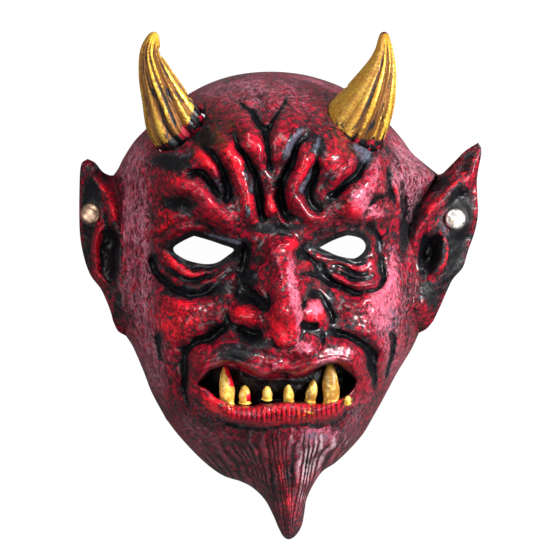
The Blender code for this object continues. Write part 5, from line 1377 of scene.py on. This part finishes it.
    # Gloss: wetter in hollows, dry where dusted. The varnish is thinner at both sides.
    grain = graph.noise(where, 900.0, 2.0)
    roughness = graph.mix_value(black, graph.ramp(grain, 0.3, 0.7, 0.28, 0.44), 0.5)
    roughness = graph.mix_value(graph.ramp(hollow, 0.4, 0.8), roughness, 0.24)
    roughness = graph.mix_value(graph.times(mauve, 0.7), roughness, 0.62)
    skin = use(graph, SKIN, Vector=where, Scale=420.0)
    height = graph.plus(skin, graph.times(graph.plus(dabs, scarlet), 0.25))
    height = graph.minus(height, graph.times(pits, 0.9))
    height = graph.minus(height, graph.plus(gap, slit))
    height = graph.times(height, graph.ramp(crease, 0.0, 1.0, 1.0, 0.25))
    finish_material(graph, shader, colour, roughness, height, SKIN_BUMP)
    shader.inputs["Specular IOR Level"].default_value = SKIN_SPECULAR
    dry = graph.larger(graph.times(mauve, 0.8), graph.larger(lining, crease))
    dry = graph.larger(dry, graph.times(black, 0.5))
    thin = graph.ramp(drawn_x, -58.0, -25.0, 0.3, 1.0)
    thin = graph.times(thin, graph.ramp(drawn_x, 64.0, 76.0, 1.0, 0.3))
    graph.put(shader.inputs["Coat Weight"], graph.times(graph.ramp(dry, 0.0, 0.6, VARNISH, 0.0), thin))
    shader.inputs["Coat Roughness"].default_value = VARNISH_ROUGHNESS
    return made


def horn_material():
    """Gold over black: bright on ridges, with painted shade in bronze in the flutes and on the side away
    from the light, torn at the foot.
    """
    made, graph, shader = new_material("gold_horn")
    where = graph.coordinates()
    groove, along = graph.attribute("groove"), graph.attribute("along")
    bare, shade = graph.attribute("bare"), graph.attribute("shade")
    run = graph.add("ShaderNodeCombineXYZ", 0, {0: graph.times(graph.attribute("ring_x"), 3.0),
                                                1: graph.times(graph.attribute("ring_y"), 3.0),
                                                2: graph.times(along, 3.5)})
    streaks = graph.noise(run, 2.2, 3.0, 0.55)
    specks = graph.noise(where, 850.0, 3.0)
    clouds = graph.noise(where, 150.0, 3.0)

    colour = graph.mix(graph.ramp(clouds, 0.38, 0.62), GOLD, PALE_GOLD)
    # Painted shade: darker bronze in the flutes, mixed with bronze specks.
    flute_shade_and_specks = graph.ramp(graph.plus(groove, graph.ramp(specks, 0.3, 0.7, -0.2, 0.2)), 0.15, 0.62)
    side_shade = graph.times(shade, graph.ramp(specks, 0.3, 0.65, 0.50, 0.85))
    colour = graph.mix(graph.larger(flute_shade_and_specks, side_shade), colour, BRONZE_AND_SHADE)

    slots = graph.times(graph.ramp(groove, 0.5, 0.9), graph.ramp(streaks, 0.52, 0.56))
    below = graph.attribute("below")
    near_foot = graph.ramp(below, -11.0, -1.0)
    drips = graph.times(near_foot, graph.ramp(streaks, 0.545, 0.575))
    lip = graph.ramp(graph.plus(below, graph.ramp(specks, 0.3, 0.7, -0.5, 0.5)), -2.4, -1.4)
    drips = graph.times(drips, graph.minus(1.0, graph.times(lip, shade)))
    tip = graph.times(graph.ramp(along, 0.962, 0.974), graph.attribute("dark_tip"))
    ragged = graph.plus(bare, graph.ramp(streaks, 0.35, 0.65, -0.45, 0.45))
    torn = graph.times(graph.ramp(ragged, 0.46, 0.54), graph.ramp(bare, 0.02, 0.1))
    gone = graph.larger(graph.larger(torn, slots), graph.larger(drips, tip))
    under = graph.mix(graph.times(graph.ramp(clouds, 0.52, 0.56), bare), INK, CRIMSON)
    colour = graph.mix(gone, colour, graph.mix(tip, under, WINE))

    metal = graph.times(graph.minus(1.0, gone), graph.ramp(side_shade, 0.0, 1.0, 0.45, 0.15))
    roughness = graph.mix_value(graph.larger(flute_shade_and_specks, side_shade), 0.24, 0.55)
    skin = use(graph, SKIN, Vector=where, Scale=600.0)
    height = graph.minus(skin, graph.times(gone, 0.8))
    finish_material(graph, shader, colour, roughness, height, HORN_BUMP, metal)
    return made


def tooth_material():
    """Yellow-gold teeth, browner toward their points, with painted shade in bronze along their flanks,
    specks and a trace of red.
    """
    made, graph, shader = new_material("gold_tooth")
    where = graph.coordinates()
    tip, stain = graph.attribute("tip"), graph.attribute("stain")
    brown, side = graph.attribute("brown"), graph.attribute("side")
    clouds = graph.noise(where, 300.0, 4.0, 0.65)
    colour = graph.mix(graph.ramp(clouds, 0.40, 0.60), IVORY, GOLD)
    colour = graph.mix(graph.ramp(tip, 0.02, 0.12, 0.9, 0.0), colour, PALE_GOLD)
    patches = graph.ramp(graph.plus(clouds, graph.times(brown, 0.16)), 0.50, 0.66)
    # Painted shade: bronze along each tooth's flanks, which turn away from the light.
    edge = graph.times(graph.ramp(side, 0.55, 1.0), graph.ramp(tip, 0.05, 0.2))
    worn = graph.times(patches, graph.ramp(brown, 0.0, 0.8, 0.3, 0.75))
    worn = graph.larger(worn, graph.times(edge, 0.7))
    colour = graph.mix(worn, colour, BRONZE_AND_SHADE)
    ragged = graph.ramp(graph.noise(where, 420.0), 0.3, 0.7, -0.3, 0.3)
    red = graph.ramp(graph.plus(stain, ragged), 0.48, 0.56)
    colour = graph.mix(red, colour, graph.mix(graph.ramp(clouds, 0.4, 0.55), CRIMSON, SCARLET))
    skin = use(graph, SKIN, Vector=where, Scale=700.0)
    finish_material(graph, shader, colour, graph.ramp(clouds, 0.3, 0.7, 0.25, 0.45), skin, TOOTH_BUMP)
    return made


def rivet_material():
    """Plated metal, silver where it is whole, coppery where it is worn, and touched by tarnish."""
    made, graph, shader = new_material("pale_plating")
    where = graph.coordinates()
    patches = graph.noise(where, 300.0, 4.0, 0.6)
    wear = graph.plus(patches, graph.ramp(graph.attribute("worn"), 0.0, 1.0, -0.08, 0.32))
    colour = graph.mix(graph.ramp(wear, 0.46, 0.60), SILVER, COPPER)
    colour = graph.mix(graph.ramp(graph.noise(where, 500.0, 3.0), 0.60, 0.68), colour, TARNISH)
    roughness = graph.ramp(patches, 0.3, 0.7, 0.34, 0.5)
    skin = use(graph, SKIN, Vector=where, Scale=250.0)
    finish_material(graph, shader, colour, roughness, skin, RIVET_BUMP, 1.0)
    return made


def cut_holes(piece, cutters):
    """Cuts closed shapes away from the piece and makes the result its own mesh."""
    cutter = make_object("hole_cutters", *join_arrays(cutters))
    step = piece.modifiers.new("holes", "BOOLEAN")
    step.operation = "DIFFERENCE"
    step.solver = "EXACT"
    step.object = cutter
    graph = bpy.context.evaluated_depsgraph_get()
    cut = bpy.data.meshes.new_from_object(piece.evaluated_get(graph))
    piece.modifiers.clear()
    piece.data = cut
    bpy.data.objects.remove(cutter, do_unlink=True)


def add_mask(made):
    """The whole moulding, with its eye holes, horn holes and rivet bores."""
    points, four, three, lining = mask_arrays(made)
    piece = make_object("mask_skin", points, four, three)
    paint(piece, lining=lining)
    cutters = [prism(eye, *EYE_CUT) for eye in (LEFT_EYE, RIGHT_EYE)]
    cutters += [horn_hole(horn[0]) for horn in HORNS.values()]
    for name in EARS:
        place, axis = rivet_frame(name)
        cutters.append(lathe(BORE, place, axis, 24))
    cut_holes(piece, cutters)
    count = len(piece.data.vertices)
    where = np.empty(count * 3, np.float32)
    piece.data.vertices.foreach_get("co", where)
    x, y = drawn(where.reshape(-1, 3).astype(float) / UNIT).T
    fan, beard = beard_fan(x, y)
    flecks = sum(mound(x, y, *row) for row in FLECK_MOUNDS)
    paint(piece, hollow=sample(made["hollow"], x, y), ridge=sample(made["ridge"], x, y),
          **paint_layers(x, y), fan=fan, beard=beard, lip=lip_lines(x, y)[1], drawn_x=x,
          lip_edge=stroke(x, y, *UPPER_LIP_EDGE), fleck=flecks)
    piece.data.materials.append(skin_material())
    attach(piece, "root")
    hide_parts("mask")
    return piece


def with_ends(layer):
    """A value for each point of a tube, with its two end points after the rings'."""
    return np.concatenate([layer.ravel(), layer[0, :1], layer[-1, :1]])


def add_horn(name, points, grooves, chips, edge, shade_from, dark_tip, finish):
    """A fluted horn through its hole in the skin, with painted shade in bronze where its turn's cosine is
    under shade_from.
    """
    arrays, groove, along, around = horn_arrays(points, grooves, chips)
    piece = make_object(name + "_gold", *arrays)
    along = with_ends(along)
    x, y = drawn(arrays[0]).T
    line = np.array(edge, float)
    below = np.interp(x, line[:, 0], line[:, 1]) - y
    foot = 1 - smoothstep((along - 0.17) / 0.05)
    bare = np.maximum(smoothstep((below + 1.2) / 2.4), foot)
    turn = np.radians(with_ends(around))
    # Painted shade: the horn's side away from the light, where its turn's cosine is low.
    shade = smoothstep((shade_from - np.cos(turn - 0.3)) / 0.7)
    paint(piece, groove=with_ends(np.clip(groove / 0.15, 0, 1)), along=along, bare=bare, shade=shade,
          below=below, ring_x=np.cos(turn), ring_y=np.sin(turn), dark_tip=np.full(len(x), dark_tip))
    piece.data.materials.append(finish)
    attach(piece, "root")
    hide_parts(name)
    return piece


def add_teeth(made, ring):
    """All the teeth, set in the floor of the mouth."""
    parts, tips, stains, browns, sides = [], [], [], [], []
    for tooth, brown, (low, high) in zip(TEETH, TOOTH_BROWN, TOOTH_RED):
        at = np.array([(tooth[0] + tooth[2]) / 2]), np.array([(tooth[1] + tooth[3]) / 2])
        floor = float(head_base(*at, ring)[0][0] + sample(made["carved"], *at)[0])
        part = tooth_arrays(tooth, floor)
        x, y = drawn(part[0]).T
        parts.append(part)
        along = (y - tooth[1]) / (tooth[3] - tooth[1])
        off = x - tooth[0] - (tooth[2] - tooth[0]) * along
        tips.append(along)
        right = smoothstep((off - 0.3 + 1.6 * smoothstep((along - 0.6) / 0.4)) / 1.5)
        stains.append(right * smoothstep((along - low) / 0.1) * smoothstep((high - along) / 0.1))
        browns.append(np.full(len(x), brown))
        sides.append(np.abs(off) / tooth[4])
    piece = make_object("teeth", *join_arrays(parts))
    paint(piece, tip=np.concatenate(tips), stain=np.concatenate(stains), brown=np.concatenate(browns),
          side=np.concatenate(sides))
    piece.data.materials.append(tooth_material())
    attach(piece, "root")
    return piece


def add_rivet(name, worn, finish):
    """A double-cap rivet: a domed, slightly dented front, a shank and a flat back."""
    place, axis = rivet_frame(name)
    turn = np.linspace(0, np.pi / 2, 12)
    dome = [(DOME_RADIUS * np.cos(t) ** 0.8, DOME_FOOT + DOME_RISE * np.sin(t)) for t in turn[:-1]]
    points, four, three = lathe(RIVET_PROFILE + dome, place, axis, 64)
    x, y = points.T[:2]
    front = smoothstep((points - place) @ axis - 0.8)
    dents = DENT_DEPTH * np.sin(x * 0.75 + 0.7) * np.sin(y * 0.8 + 0.2)
    points = points + (front * dents)[:, None] * axis
    piece = make_object(name + "_ear_rivet_cap", points, four, three)
    paint(piece, worn=np.full(len(points), worn))
    piece.data.materials.append(finish)
    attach(piece, "root")
    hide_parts(name + "_ear_rivet")
    return piece


# The floor: half its width in metres, its colours, and its glow beside the mask and as the camera
# sees it.
FLOOR_HALF = 1.5
PAPER = [(0.05, 0.05, 0.05), (0.06, 0.06, 0.06)]
FLOOR_GLOW = (0.06, 0.985)
# The lights: name, place in metres, width and power, and the point that they are turned to.
LIGHTS = [("key", (0.85, 0.22, 0.62), 0.30, 23.0), ("top", (-0.15, 0.75, 0.75), 0.5, 7.0),
          ("front", (0.45, -0.6, 0.7), 0.4, 2.6), ("fill", (-0.8, -0.1, 0.75), 0.6, 5.5)]
AIM = (0, 0, 0.05)
WORLD_GLOW = 0.06
SENSOR = 36


def floor_material():
    """Plain white paper, lit through from below so that it shows no shadow, and dim beside the mask."""
    made, graph, shader = new_material("pale_paper")
    fibres = graph.noise(graph.coordinates(), 60.0, 4.0)
    seen = graph.add("ShaderNodeLightPath", 0)
    paper = graph.mix(fibres, *PAPER)
    graph.put(shader.inputs["Base Color"], paper)
    shader.inputs["Roughness"].default_value = 0.9
    shader.inputs["Specular IOR Level"].default_value = 0.0
    shader.inputs["Emission Color"].default_value = (1, 1, 1, 1)
    graph.put(shader.inputs["Emission Strength"], graph.ramp(seen, 0.0, 1.0, *FLOOR_GLOW))
    return made


def area_light(name, place, size, power):
    """A square soft white light at a place, in metres, turned to AIM."""
    light = bpy.data.lights.new(name, "AREA")
    light.size = size
    light.energy = power
    made = bpy.data.objects.new(name, light)
    bpy.context.scene.collection.objects.link(made)
    made.location = place
    away = np.array(place, float) - np.array(AIM, float)
    flat = math.hypot(away[0], away[1])
    made.rotation_euler = (math.atan2(flat, away[2]), 0, math.atan2(away[0], -away[1]))
    return made


def add_stage():
    """Floor, lights, world and the camera straight above the face."""
    corners = np.array([(-1, -1), (1, -1), (1, 1), (-1, 1)]) * FLOOR_HALF / UNIT
    corners = np.column_stack([corners, np.full(4, -FLOOR_DROP)])
    floor = make_object("floor", corners, np.array([[0, 1, 2, 3]]))
    floor.data.materials.append(floor_material())
    for row in LIGHTS:
        area_light(*row)
    world = bpy.data.worlds.new("studio")
    world.use_nodes = True
    sky = world.node_tree.nodes["Background"].inputs
    sky["Color"].default_value = (1, 1, 1, 1)
    sky["Strength"].default_value = WORLD_GLOW
    bpy.context.scene.world = world
    camera = bpy.data.cameras.new("camera")
    camera.sensor_width = SENSOR
    camera.lens = SENSOR * VIEW_DISTANCE / VIEW_WIDTH
    camera.clip_start, camera.clip_end = 0.01, 10
    holder = bpy.data.objects.new("camera", camera)
    holder.location = (*((SIGHT - MIDDLE) * UNIT), VIEW_DISTANCE * UNIT)
    bpy.context.scene.collection.objects.link(holder)
    bpy.context.scene.camera = holder
    bpy.context.scene.view_settings.view_transform = "Standard"


add_stage()
FIELDS = fields()
add_mask(FIELDS)
GOLD_COAT = horn_material()
for horn_name, horn_values in HORNS.items():
    add_horn(horn_name, *horn_values, GOLD_COAT)
add_teeth(FIELDS, head_edge())
PLATING = rivet_material()
for side_name, side_wear in RIVET_WEAR.items():
    add_rivet(side_name, side_wear, PLATING)
